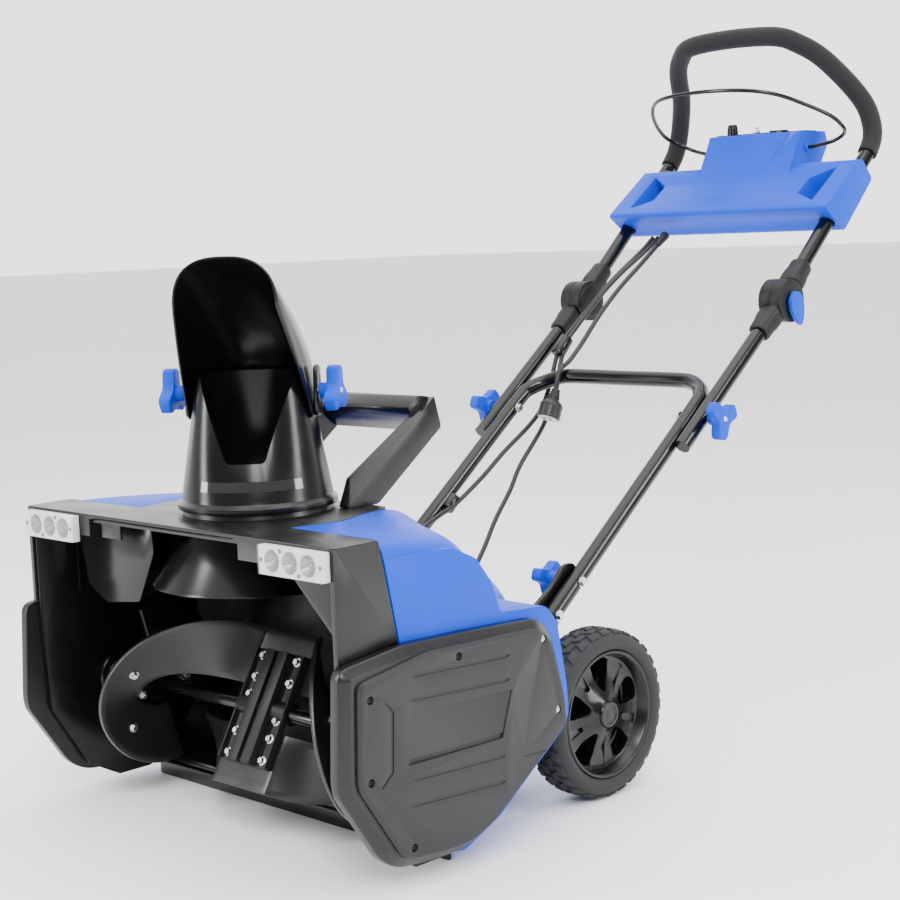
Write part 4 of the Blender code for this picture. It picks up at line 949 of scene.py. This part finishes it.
def on_blade(side, turn, angle, radius):
    """A point on the blade's middle surface and the normal there."""
    def point(angle, radius):
        return round_shaft(side * along_shaft(angle / AUGER_SWEEP), radius, angle + turn)

    here = point(angle, radius)
    run = point(angle + 0.01, radius) - here
    rise = point(angle, radius + 0.001) - here
    return here, run.cross(rise).normalized()


def paddle(name, turn, node):
    """A rubber blade that sweeps round the shaft into a flat flange at each end."""
    flat_share, columns, rows = 0.12, 150, 8
    grid = []
    for i in range(columns + 1):
        p = 2 * i / columns - 1
        q = max(0.0, (abs(p) - flat_share) / (1 - flat_share))
        x = FLAT_HALF * p / flat_share if q == 0.0 else math.copysign(along_shaft(q), p)
        inner = 0.024 + 0.012 * math.sin(math.pi * q) ** 2
        outer = 0.094 + 0.006 * q * q
        grid.append([round_shaft(x, inner + (outer - inner) * k / rows, AUGER_SWEEP * q + turn)
                     for k in range(rows + 1)])
    show(sheet(name, grid, 0.006), RUBBER, "auger", node, edge=0.0008)


def auger():
    """The two paddles, the bracket that clamps them, their bolts, the end arms and the shaft."""
    reach = Vector((0, -math.sin(AUGER_LEAN), math.cos(AUGER_LEAN)))
    square = X.cross(reach)
    centre = place(AUGER_MIDDLE, *AUGER_AXIS)
    paddle("blade_upper", AUGER_LEAN, "paddle_upper")
    paddle("blade_lower", AUGER_LEAN + math.pi, "paddle_lower")
    face = centre + square * 0.0033
    matrix = axes(face + square * 0.0015, X, reach, square)
    clamp = plate("clamp_plate", rounded(rectangle(0.043, 0.068), 0.004, 4), 0.003, matrix)
    for u in (-0.0112, 0.0112):
        join(clamp, plate("channel", rounded(rectangle(0.0078, 0.067, u), 0.002, 2), 0.012,
                          Matrix.Translation(square * 0.006) @ matrix))
    for u in (-0.0414, 0.0414):
        join(clamp, plate("flange", rectangle(0.0012, 0.067, u), 0.008, Matrix.Translation(square * 0.003) @ matrix))
    join(clamp, bar("hub", 0.0132, centre - X * 0.043, centre + X * 0.043, segments=48))
    cut(clamp, bar("hub_bore", SHAFT_BORE, centre - X * 0.06, centre + X * 0.06, segments=48))
    show(clamp, KNUCKLE, "auger", "paddle_bracket", slot="painted_steel", edge=0.0014)
    bolts = []
    for u in (-0.03, 0.03):
        for v in (0.059, 0.033, u * -0.4, -0.033, -0.059):
            bolts += bolt_head(face + square * 0.003 + X * u + reach * v, square, 0.004, 0.0056)
    for side in (-1, 1):
        for turn in (AUGER_LEAN, AUGER_LEAN + math.pi):
            for degrees, radius in ((94, 0.066), (164, 0.066), (128, 0.034)):
                spot, normal = on_blade(side, turn, math.radians(degrees), radius)
                for facing in (-1, 1):
                    bolts += bolt_head(spot + normal * facing * 0.003, normal * facing, 0.0044, 0.0046)
    show(merge("auger_bolts", bolts), ZINC, "auger")
    along = Vector((0, -math.sin(AUGER_ARM), math.cos(AUGER_ARM)))
    across = X.cross(along)
    for name, side in SIDES:
        spot = place(AUGER_MIDDLE + side * 0.2098, *AUGER_AXIS)
        half = [(0.024, -0.03), (0.028, -0.068), (0.016, -0.086)]
        outline = mirrored(half) + [(-u, -v) for u, v in mirrored(half)]
        arm = plate("arm_" + name, rounded(outline, 0.008, 4), 0.003, axes(spot, across, along, across.cross(along)))
        cut(arm, bar("arm_bore", SHAFT_BORE, spot - X * 0.02, spot + X * 0.02, segments=40))
        show(arm, PAINT, "auger", "end_plate_" + name, edge=0.0004)
    shaft = cross_bar("shaft", SHAFT_RADIUS, -0.278, 0.295, AUGER_AXIS, 48)
    show(shaft, PAINT, "auger", "auger_shaft", edge=0.0008)


auger()


# ---- wheels -----------------------------------------------------------------------------------

def tread():
    """The lugs round a tyre: slanted blocks in four staggered rows."""
    work = bmesh.new()
    count, root, tip = 30, 0.0975, 0.102
    rows = ((-0.0225, -0.0125), (-0.0105, -0.001), (0.001, 0.0105), (0.0125, 0.0225))
    for k in range(count):
        for row, (low, high) in enumerate(rows):
            middle = math.tau * (k + (0.5 if row % 2 else 0.0)) / count
            half_angle = math.tau / count * 0.36
            lean = 0.045 * (1 if row % 2 else -1)
            corners = []
            for radius, grow in ((root, 1.0), (tip, 0.86)):
                for sign_a, height in ((-1, low), (1, low), (1, high), (-1, high)):
                    share = (height - low) / (high - low) - 0.5
                    mid = (low + high) / 2
                    h = mid + (height - mid) * grow
                    angle = middle + sign_a * half_angle * grow + lean * share
                    r = radius - (0.0022 if abs(h) > 0.02 and radius == tip else 0.0)
                    corners.append(work.verts.new((r * math.cos(angle), r * math.sin(angle), h)))
            a, b, c, d, e, f, g, h = corners
            for face in ((a, b, c, d), (e, f, g, h), (a, b, f, e), (b, c, g, f), (c, d, h, g), (d, a, e, h)):
                work.faces.new(face)
    return from_bmesh("tread", work)


def wheel(side, name):
    """A tyre with lugs, its rim with five windows, the dark web behind them and the hub cap."""
    body = "wheel_" + name
    half = 0.0275
    matrix = axes(place(side * 0.2405, *WHEEL_AXIS), Y * side, Z, X * side)
    tyre = turned("tyre", [
        (0.0778, half - 0.0045), (0.0815, half - 0.0015), (0.086, half - 0.0002), (0.09, half - 0.0008),
        (0.0945, half - 0.0032), (0.0978, half - 0.007), (0.099, half - 0.012), (0.0992, 0.0),
        (0.099, -half + 0.012), (0.0978, -half + 0.007), (0.0945, -half + 0.0032), (0.09, -half + 0.0008),
        (0.086, -half + 0.0002), (0.0815, -half + 0.0015), (0.0778, -half + 0.0045)], matrix, 120)
    lugs = tread()
    lugs.matrix_world = matrix
    show(merge("tyre_" + name, [tyre, lugs]), TYRE, body, body + "_tyre",
         edge=0.0005, segments=1)
    rim = turned("rim_" + name, [
        (AXLE_HOLE, 0.021), (0.017, 0.021), (0.0185, 0.0195), (0.024, 0.0165), (0.042, 0.01), (0.06, 0.0075),
        (0.068, 0.01), (0.0715, half - 0.006), (0.0735, half - 0.004), (0.076, half - 0.0038),
        (0.0775, half - 0.0055), (0.0775, -half + 0.004), (0.0715, -half + 0.005), (0.068, -0.002),
        (0.02, -0.002), (0.017, -0.016), (AXLE_HOLE, -0.016)], matrix, 100)
    window = rounded([(0.027, -0.003), (0.027, 0.003), (0.044, 0.013), (0.062, 0.0165), (0.0665, 0.008),
                      (0.0672, 0.0), (0.0665, -0.008), (0.062, -0.0165), (0.044, -0.013)], 0.004, 3)
    crease = [(0.024, 0.0), (0.042, -0.0035), (0.064, -0.006), (0.065, 0.0), (0.064, 0.006), (0.042, 0.0035)]
    for k in range(5):
        turn = Matrix.Rotation(math.tau * (k + 0.25) / 5, 4, "Z")
        cut(rim, plate("window", window, 0.06, matrix @ turn))
        turn = Matrix.Rotation(math.tau * (k + 0.75) / 5, 4, "Z")
        cut(rim, plate("crease", crease, 0.004, matrix @ turn @ Matrix.Translation((0, 0, 0.0092))))
    show(rim, BLACK, body, body + "_rim", edge=0.0012)
    web = turned("web_" + name, [(0.018, -0.015), (0.07, -0.0165), (0.07, -0.0185), (0.018, -0.017)],
                 matrix, 64)
    show(web, COWL, body)
    cap = turned("hub_cap_" + name, [
        (0, 0.0235), (0.006, 0.0232), (0.011, 0.0228), (0.0118, 0.024), (0.015, 0.0238), (0.0164, 0.0222),
        (0.0166, 0.0212), (0, 0.0212)], matrix, 56)
    show(cap, BLACK, body, edge=0.0003)


for name, side in SIDES:
    wheel(side, name)


# ---- chute ------------------------------------------------------------------------------------

ACROSS = Vector((math.cos(CHUTE_TURN), math.sin(CHUTE_TURN), 0))
THROW = Vector((math.sin(CHUTE_TURN), -math.cos(CHUTE_TURN), 0))
CHUTE = place(0, CHUTE_AXIS_D, 0)
CONE_FOOT = (0.0868, 0.393)
CONE_SLOPE = 0.1733
BAND_Z = (0.402, 0.4135)
SQUARENESS = 0.77


def chute():
    """The tapered spout with its notch, and the band round its foot."""
    profile = [(0.0604, 0.528), (0.0619, 0.5286), (0.0634, 0.528), CONE_FOOT, (0.0874, 0.388), (0.0905, 0.385),
               (0.0925, 0.3835), (0.0925, 0.378), (0.0915, 0.3773), (0.0838, 0.3773), (0.0838, 0.392)]
    part = turned("chute_cone", profile, Matrix.Translation(CHUTE), 120)
    notch = rounded([(-0.01, 0.433), (0.033, 0.433), (0.0575, 0.52), (0.066, 0.56), (-0.054, 0.56),
                     (-0.0465, 0.52)], 0.004, 3)
    cut(part, plate("notch", notch, 0.12, axes(CHUTE + THROW * 0.078, ACROSS, Z, ACROSS.cross(Z))))
    show(part, BLACK, "chute", "chute_body", edge=0.0006)
    grid = []
    for i in range(25):
        angle = math.radians(-30 + 84 * i / 24)
        out = THROW * math.cos(angle) + ACROSS * math.sin(angle)
        grid.append([CHUTE + out * (CONE_FOOT[0] - (z - CONE_FOOT[1]) * CONE_SLOPE + 0.0006) + Z * z
                     for z in BAND_Z])
    show(sheet("chute_band", grid, 0.0008), BADGE, "chute")


# The line of the hood's back, as reach along the throw and height.
CROWN = [(-0.076, 0.478), (-0.0755, 0.522), (-0.061, 0.562), (-0.026, 0.598), (0.025, 0.632), (0.085, 0.664)]


def deflector():
    """The hood: a half tube whose back curls over from upright to level, with an ear for each knob."""
    rows, columns = 40, 48
    grid = []
    crown = smooth_route([Vector((reach, 0, z)) for reach, z in CROWN], 0.012)
    for i in range(rows + 1):
        t = i / rows
        rim = CHUTE + THROW * (0.014 + 0.071 * t) + Z * (0.478 + 0.129 * t)
        half = 0.0746 - 0.014 * t ** 1.5
        reach = t * (len(crown) - 1)
        step = min(int(reach), len(crown) - 2)
        back = crown[step].lerp(crown[step + 1], reach - step)
        depth = CHUTE + THROW * back.x + Z * back.z - rim
        row = []
        for k in range(columns + 1):
            angle = math.pi * k / columns
            c, s = math.cos(angle), max(math.sin(angle), 0.0)
            row.append(rim + ACROSS * (half * math.copysign(abs(c) ** SQUARENESS, c)) + depth * s ** SQUARENESS)
        grid.append(row)
    show(sheet("hood", grid, 0.0025, -1), BLACK, "deflector", "chute_deflector", edge=0.0007)
    for side in (-1, 1):
        outline = rounded([(-0.01, -0.028), (0.01, -0.028), (0.012, 0.0), (0.009, 0.03), (-0.009, 0.03),
                           (-0.012, 0.0)], 0.007, 4)
        spot = CHUTE + Z * HOOD_PIVOT_Z + ACROSS * side * 0.0772
        ear = plate("hood_ear", outline, 0.004, axes(spot, THROW, Z, THROW.cross(Z)))
        cut(ear, bar("ear_bore", 0.0042, spot - ACROSS * 0.01, spot + ACROSS * 0.01, segments=28))
        show(ear, BLACK, "deflector", edge=0.001)


def knob(name, centre, axis, reach, radius, body, turn):
    """A three armed hand knob with a hub, a stud and a cap. Its body and its CAD node share a name."""
    side = Z.cross(axis).normalized()
    matrix = axes(centre, side, axis.cross(side), axis)

    def ray(share):
        angle = math.tau * share / 3 + turn
        return Vector((math.cos(angle), math.sin(angle)))

    star = []
    for k in range(3):
        arm, dip = ray(k), ray(k + 0.5)
        flank = Vector((-arm.y, arm.x))
        star += [arm * radius - flank * radius * 0.33, arm * radius + flank * radius * 0.33, dip * radius * 0.46]
    star = rounded([tuple(corner) for corner in star], radius * 0.22, 5)

    def lobes(scale, height):
        return [(u * scale, v * scale, height) for u, v in star]

    head = stacked("knob_head", [lobes(0.93, 0.0078), lobes(1.0, 0.0062), lobes(1.0, -0.0052), lobes(0.93, -0.0068)],
                   matrix)
    foot = -0.011 - reach * 0.4
    hub = turned("hub", [(0, 0), (0.0105, 0), (0.009, foot), (0, foot)], matrix, 40)
    show(merge(name, [head, hub]), BLUE, body, body, edge=0.0004, angle=40)
    stud = bar(name + "_stud", 0.0036, centre - axis * 0.01, centre - axis * (0.0068 + reach), segments=28)
    show(stud, ZINC, body)
    cap = turned(name + "_cap", [(0, 0.0094), (0.0024, 0.0092), (0.0036, 0.008), (0.0038, 0.007), (0, 0.007)],
                 matrix, 32)
    show(cap, ZINC, body)


def on_tube(d):
    """The (d, z) of a point on the lower handle's line."""
    return d, 0.209 + TUBE_SLOPE * (d - 0.4635)


chute()
deflector()
for name, side in SIDES:
    knob("hood_knob_" + name, CHUTE + Z * HOOD_PIVOT_Z + ACROSS * side * 0.0975, ACROSS * side, 0.0138, 0.029,
         "deflector_knob_" + name, math.pi / 2)
    knob("mid_knob_" + name, place(side * 0.212, *on_tube(0.744)), X * side, 0.0125, 0.028,
         "middle_knob_" + name, 0.35)
    knob("base_knob_" + name, place(side * 0.112, *on_tube(0.505)), X * -side, 0.0205, 0.024,
         "lower_knob_" + name, 0.35)


# ---- handle -----------------------------------------------------------------------------------

HANDLE_DIR = Vector((0, 1, TUBE_SLOPE)).normalized()
DRUM_RADIUS = 0.03
UPPER_DIR = Vector((0, math.cos(CONSOLE_ANGLE), math.sin(CONSOLE_ANGLE)))
GRIP_HALF = [
    (-0.181, 1.16, 0.7716), (-0.1803, 1.1735, 0.789), (-0.1775, 1.18, 0.811), (-0.169, 1.176, 0.842),
    (-0.153, 1.158, 0.874), (-0.131, 1.122, 0.912), (-0.107, 1.099, 0.933), (-0.076, 1.084, 0.946),
    (0.0, 1.081, 0.95),
]


def console_point(along, out):
    """The (d, z) of a point along the upper tube from the console's foot, and out from it."""
    c, s = math.cos(CONSOLE_ANGLE), math.sin(CONSOLE_ANGLE)
    return CONSOLE_FOOT[0] + along * c - out * s, CONSOLE_FOOT[1] + along * s + out * c


def lower_frame():
    """The looped lower tube, and on each side the middle tube, the mounting plate and the bolts."""
    half = [(0.0, 0.81, 0.4655), (-0.09, 0.81, 0.4655), (-0.118, 0.8065, 0.464), (-0.141, 0.795, 0.4565),
            (-0.1545, 0.777, 0.4475)]
    half += [(-LOWER_TUBE_X, *on_tube(d)) for d in (0.752, 0.6, 0.43)]
    tube = wire("lower_frame", smooth_route(both_sides(half[::-1])), TUBE_RADIUS, 10)
    show(tube, PAINT, "chassis", "lower_handle")
    for name, side in SIDES:
        start = place(side * MIDDLE_TUBE_X, *on_tube(0.7))
        end = place(side * MIDDLE_TUBE_X, *on_tube(0.9005))
        show(wire("mid_tube_" + name, [start, end], TUBE_RADIUS, 10), PAINT, "chassis",
             "middle_tube_" + name)
        outline = rounded([(0.4153, 0.13), (0.4153, 0.203), (0.47, 0.236), (0.498, 0.262), (0.518, 0.262),
                           (0.524, 0.244), (0.478, 0.18), (0.445, 0.14)], 0.008, 4)
        flange = side_plate("mount_plate_" + name, outline, side * 0.1412, side * 0.147)
        show(flange, PAINT, "chassis", "handle_bracket_" + name, edge=0.0008)
        heads = []
        for x, d, facing in ((0.147, 0.744, -1), (0.1694, 0.505, 1), (0.1694, 0.46, 1)):
            heads += bolt_head(place(side * x, *on_tube(d)), X * side * facing, 0.0052, 0.0052)
        show(merge("frame_bolts_" + name, heads), ZINC, "chassis")


def socket(name, direction, x, start, end):
    """The square sleeve of a knuckle, which narrows round its tube."""
    centre = place(x, *FOLD_AXIS) + direction * (start + end) / 2
    across = X.cross(direction)
    half = (end - start) / 2
    ring = []
    for share, scale in ((-half, 0.97), (-half + 0.006, 1.0), (half - 0.024, 0.97), (half - 0.016, 0.9),
                         (half - 0.003, 0.88), (half, 0.84)):
        outline = rounded(rectangle(0.015 * scale, 0.016 * scale), 0.0105, 6)
        ring.append([(u, v, share) for u, v in outline])
    return stacked(name, ring, axes(centre, across, X, direction))


def fold_joint(name, side):
    """The two halves of a knuckle, the cap on its inner end and the cam lever that locks it."""
    x = side * MIDDLE_TUBE_X
    for label, direction, drum, body, node in (
            ("lower_knuckle_", HANDLE_DIR * -1, (0.1815, 0.1985), "chassis", "fold_base_"),
            ("upper_knuckle_", UPPER_DIR, (0.1635, 0.181), "upper", "fold_cap_")):
        part = socket(label + name, direction, x, 0.012, 0.07)
        join(part, cross_bar("drum", DRUM_RADIUS, side * drum[0], side * drum[1], FOLD_AXIS, 72))
        clear = (drum[1], 0.24) if body == "upper" else (0.13, drum[0])
        cut(part, cross_bar("other_half", DRUM_RADIUS + 0.003, side * clear[0], side * clear[1], FOLD_AXIS, 72))
        start = place(x, *FOLD_AXIS) + direction * 0.03
        cut(part, bar("bore", TUBE_RADIUS + GAP, start, start + direction * 0.12, segments=40))
        show(part, KNUCKLE, body, node + name, edge=0.0012)
    disc = turned("knuckle_disc_" + name, [(0, 0.0012), (0.0225, 0.0012), (0.0255, -0.001), (0, -0.001)],
                  axes(place(side * 0.163, *FOLD_AXIS), Y * -side, Z, X * -side), 56)
    show(disc, KNUCKLE, "upper")

    pin = place(side * 0.2035, *FOLD_AXIS)
    long_axis = Vector((0, 0.3, -0.95)).normalized()
    across = X.cross(long_axis) * side
    outline = rounded([(-0.013, -0.006), (0.0, -0.0148), (0.013, -0.006), (0.0155, 0.01), (0.01, 0.026),
                       (0.0, 0.038), (-0.01, 0.026), (-0.0155, 0.01)], 0.005, 4)
    rings = []
    for height, scale in ((-0.0045, 0.97), (-0.0035, 1.0), (0.0015, 1.0), (0.0045, 0.78)):
        rings.append([(u * scale, 0.008 + (v - 0.008) * scale, height) for u, v in outline])
    lever = stacked("cam_lever_" + name, rings, axes(pin, across, long_axis, across.cross(long_axis)))
    show(lever, BLUE, "fold_lever_" + name, "fold_lever_" + name, edge=0.0006)


def upper_frame():
    """The one tube from knuckle to knuckle over the grip, and the foam on it."""
    x = -MIDDLE_TUBE_X
    start = (x, *(Vector(FOLD_AXIS) + Vector((UPPER_DIR.y, UPPER_DIR.z)) * 0.034))
    half = [start, (x, *CONSOLE_FOOT), (x, *console_point(0.08, 0.0)), (x, *console_point(0.122, 0.0))]
    tube = wire("upper_frame", smooth_route(both_sides(half + GRIP_HALF)), TUBE_RADIUS, 10)
    show(tube, PAINT, "upper", "upper_handle")
    grip = wire("grip_sleeve", smooth_route(both_sides(GRIP_HALF), 0.008), 0.0143, 12)
    show(grip, FOAM, "upper", "foam_grip")


def console():
    """The blue console, its pod with the controls, its back plate and the cable gland."""
    out = X.cross(UPPER_DIR)
    section = rounded([console_point(*corner) for corner in
                       ((-0.008, 0.036), (0.111, 0.022), (0.112, -0.0195), (0.005, -0.0235))], 0.007, 4)
    part = side_plate("console_moulding", section, -0.197, 0.197)
    pod = rounded([(1.094, 0.744), (1.128, 0.8105), (1.196, 0.8105), (1.203, 0.792), (1.166, 0.735),
                   (1.12, 0.715)], 0.003, 3)
    join(part, side_plate("pod", pod, -0.0775, 0.087))
    valley = [place(*point) for point in (
        (0.0225, 1.1275, 0.8125), (0.0225, 1.11, 0.825), (0.086, 1.128, 0.8125), (0.086, 1.11, 0.825),
        (0.059, 1.146, 0.811), (0.059, 1.146, 0.825), (0.04, 1.096, 0.752), (0.04, 1.08, 0.752))]
    cut(part, hull("valley", valley))
    hollow = [console_point(*corner) for corner in ((0.002, 0.0305), (0.105, 0.018), (0.106, -0.03), (0.01, -0.03))]
    cut(part, side_plate("console_space", hollow, -0.118, 0.118))
    for side in (-1, 1):
        foot = place(side * MIDDLE_TUBE_X, *CONSOLE_FOOT)
        cut(part, bar("tube_way", 0.0116, foot - UPPER_DIR * 0.05, foot + UPPER_DIR * 0.18, segments=40))
        corners = [(0.131, 0.03), (0.131, 0.066), (0.166, 0.092), (0.166, 0.01)]
        window = rounded([(side * u, v) for u, v in corners], 0.003, 3)
        origin = place(0, *console_point(0.0, 0.03))
        cut(part, plate("window", window, 0.06, axes(origin, X, UPPER_DIR, out)))
    top = place(-0.05, 1.15, POD_TOP)
    cut(part, bar("button_hole", 0.009, top - Z * 0.02, top + Z * 0.02, segments=40),
        box("rocker_window", (0.02, 1.1422, POD_TOP - 0.02), (0.05, 1.1578, POD_TOP + 0.02)))
    show(part, BLUE, "upper", "console_shell", edge=0.0018, angle=38)
    inner = [(0.0105, -0.0188), (0.105, -0.016), (0.105, -0.019), (0.0105, -0.0218)]
    cover_plate = side_plate("console_back", [console_point(*corner) for corner in inner], -0.1175, 0.1175)
    show(cover_plate, COWL, "upper", "console_cover", edge=0.0006)
    rim = level_plate("pod_rim", rounded([(-0.073, 1.136), (0.02, 1.136), (0.06, 1.154), (0.078, 1.154),
                                          (0.078, 1.188), (-0.073, 1.188)], 0.004, 4),
                      POD_TOP - 0.0002, POD_TOP + 0.0018)
    cut(rim, bar("button_way", 0.0092, top - Z * 0.02, top + Z * 0.02, segments=40),
        box("rocker_way", (0.0195, 1.1417, POD_TOP - 0.02), (0.0505, 1.1583, POD_TOP + 0.02)))
    show(rim, COWL, "upper", edge=0.0008)
    button = turned("start_knob", [(0, 0.024), (0.006, 0.0238), (0.0072, 0.0226), (0.0085, 0.013), (0.0085, 0.0),
                                   (0, 0.0)], axes(top - Z * 0.006, X, Y, Z), 40)
    show(button, BLACK, "start_button", "start_button")
    rocker = box("rocker", (0.022, 1.143, POD_TOP - 0.003), (0.048, 1.157, POD_TOP + 0.0042))
    show(rocker, BLACK, "light_switch", "light_switch", edge=0.0012)
    toggle = turned("toggle", [(0, 0.01), (0.0025, 0.0098), (0.0028, 0.004), (0.0055, 0.0035), (0.0055, 0.0),
                               (0, 0.0)], axes(place(-0.005, 1.15, POD_TOP + 0.0018), X, Y, Z), 24)
    show(toggle, ZINC, "upper")
    dome = turned("cable_gland", [(0, 0.008), (0.005, 0.0074), (0.0092, 0.0052), (0.0118, 0.0016), (0.0122, -0.001),
                                  (0, -0.001)],
                  axes(place(-0.1585, *console_point(0.1115, 0.008)), X, -out, UPPER_DIR), 40)
    show(dome, COWL, "upper", edge=0.0004)


def bail():
    """The wire lever over the grip, and its two bosses on the pod."""
    pivot = (1.144, 0.786)
    half = [(-0.0874, *pivot), (-0.1, 1.146, 0.787), (-0.128, 1.155, 0.793), (-0.15, 1.149, 0.803),
            (-0.159, 1.128, 0.813), (-0.156, 1.102, 0.827), (-0.137, 1.064, 0.844), (-0.11, 1.031, 0.859),
            (-0.07, 1.008, 0.867), (0.0, 1.0015, 0.87)]
    route = [place(-0.0778, *pivot)] + smooth_route(both_sides(half), 0.008)
    show(wire("bail_wire", route, 0.003), PAINT, "bail", "bail_lever")
    for side, root in ((-1, 0.0773), (1, 0.0868)):
        boss = bar("bail_boss", 0.007, place(side * root, *pivot), place(side * (root + 0.005), *pivot), 0.0058,
                   segments=36)
        show(boss, BLUE, "upper", edge=0.0006)


def clips():
    """The clips that hold the cables to the frame."""
    for name, start, end, radius in (
            ("upper_clip", (-0.149, 0.858, 0.516), (-0.149, 0.836, 0.494), 0.0105),
            ("lower_clip", (-0.147, 0.606, 0.3105), (-0.147, 0.588, 0.296), 0.01)):
        band = bar(name, radius, place(*start), place(*end), segments=32)
        show(band, BLACK, "chassis", edge=0.0015)


lower_frame()
for name, side in SIDES:
    fold_joint(name, side)
upper_frame()
console()
bail()
clips()


# ---- carried-over CAD parts -------------------------------------------------------------------

for node, material in (("motor", STEEL), ("motor_pulley", STEEL), ("auger_pulley", MATTE), ("drive_belt", CORD),
                       ("wheel_axle", ZINC), ("auger_bearing_left", STEEL), ("auger_bearing_right", STEEL)):
    mesh = frame["nodes"][node].data
    mesh.materials.clear()
    mesh.materials.append(material)

for tool in [thing for thing in bpy.data.objects if thing.get("tool")]:
    bpy.data.objects.remove(tool)
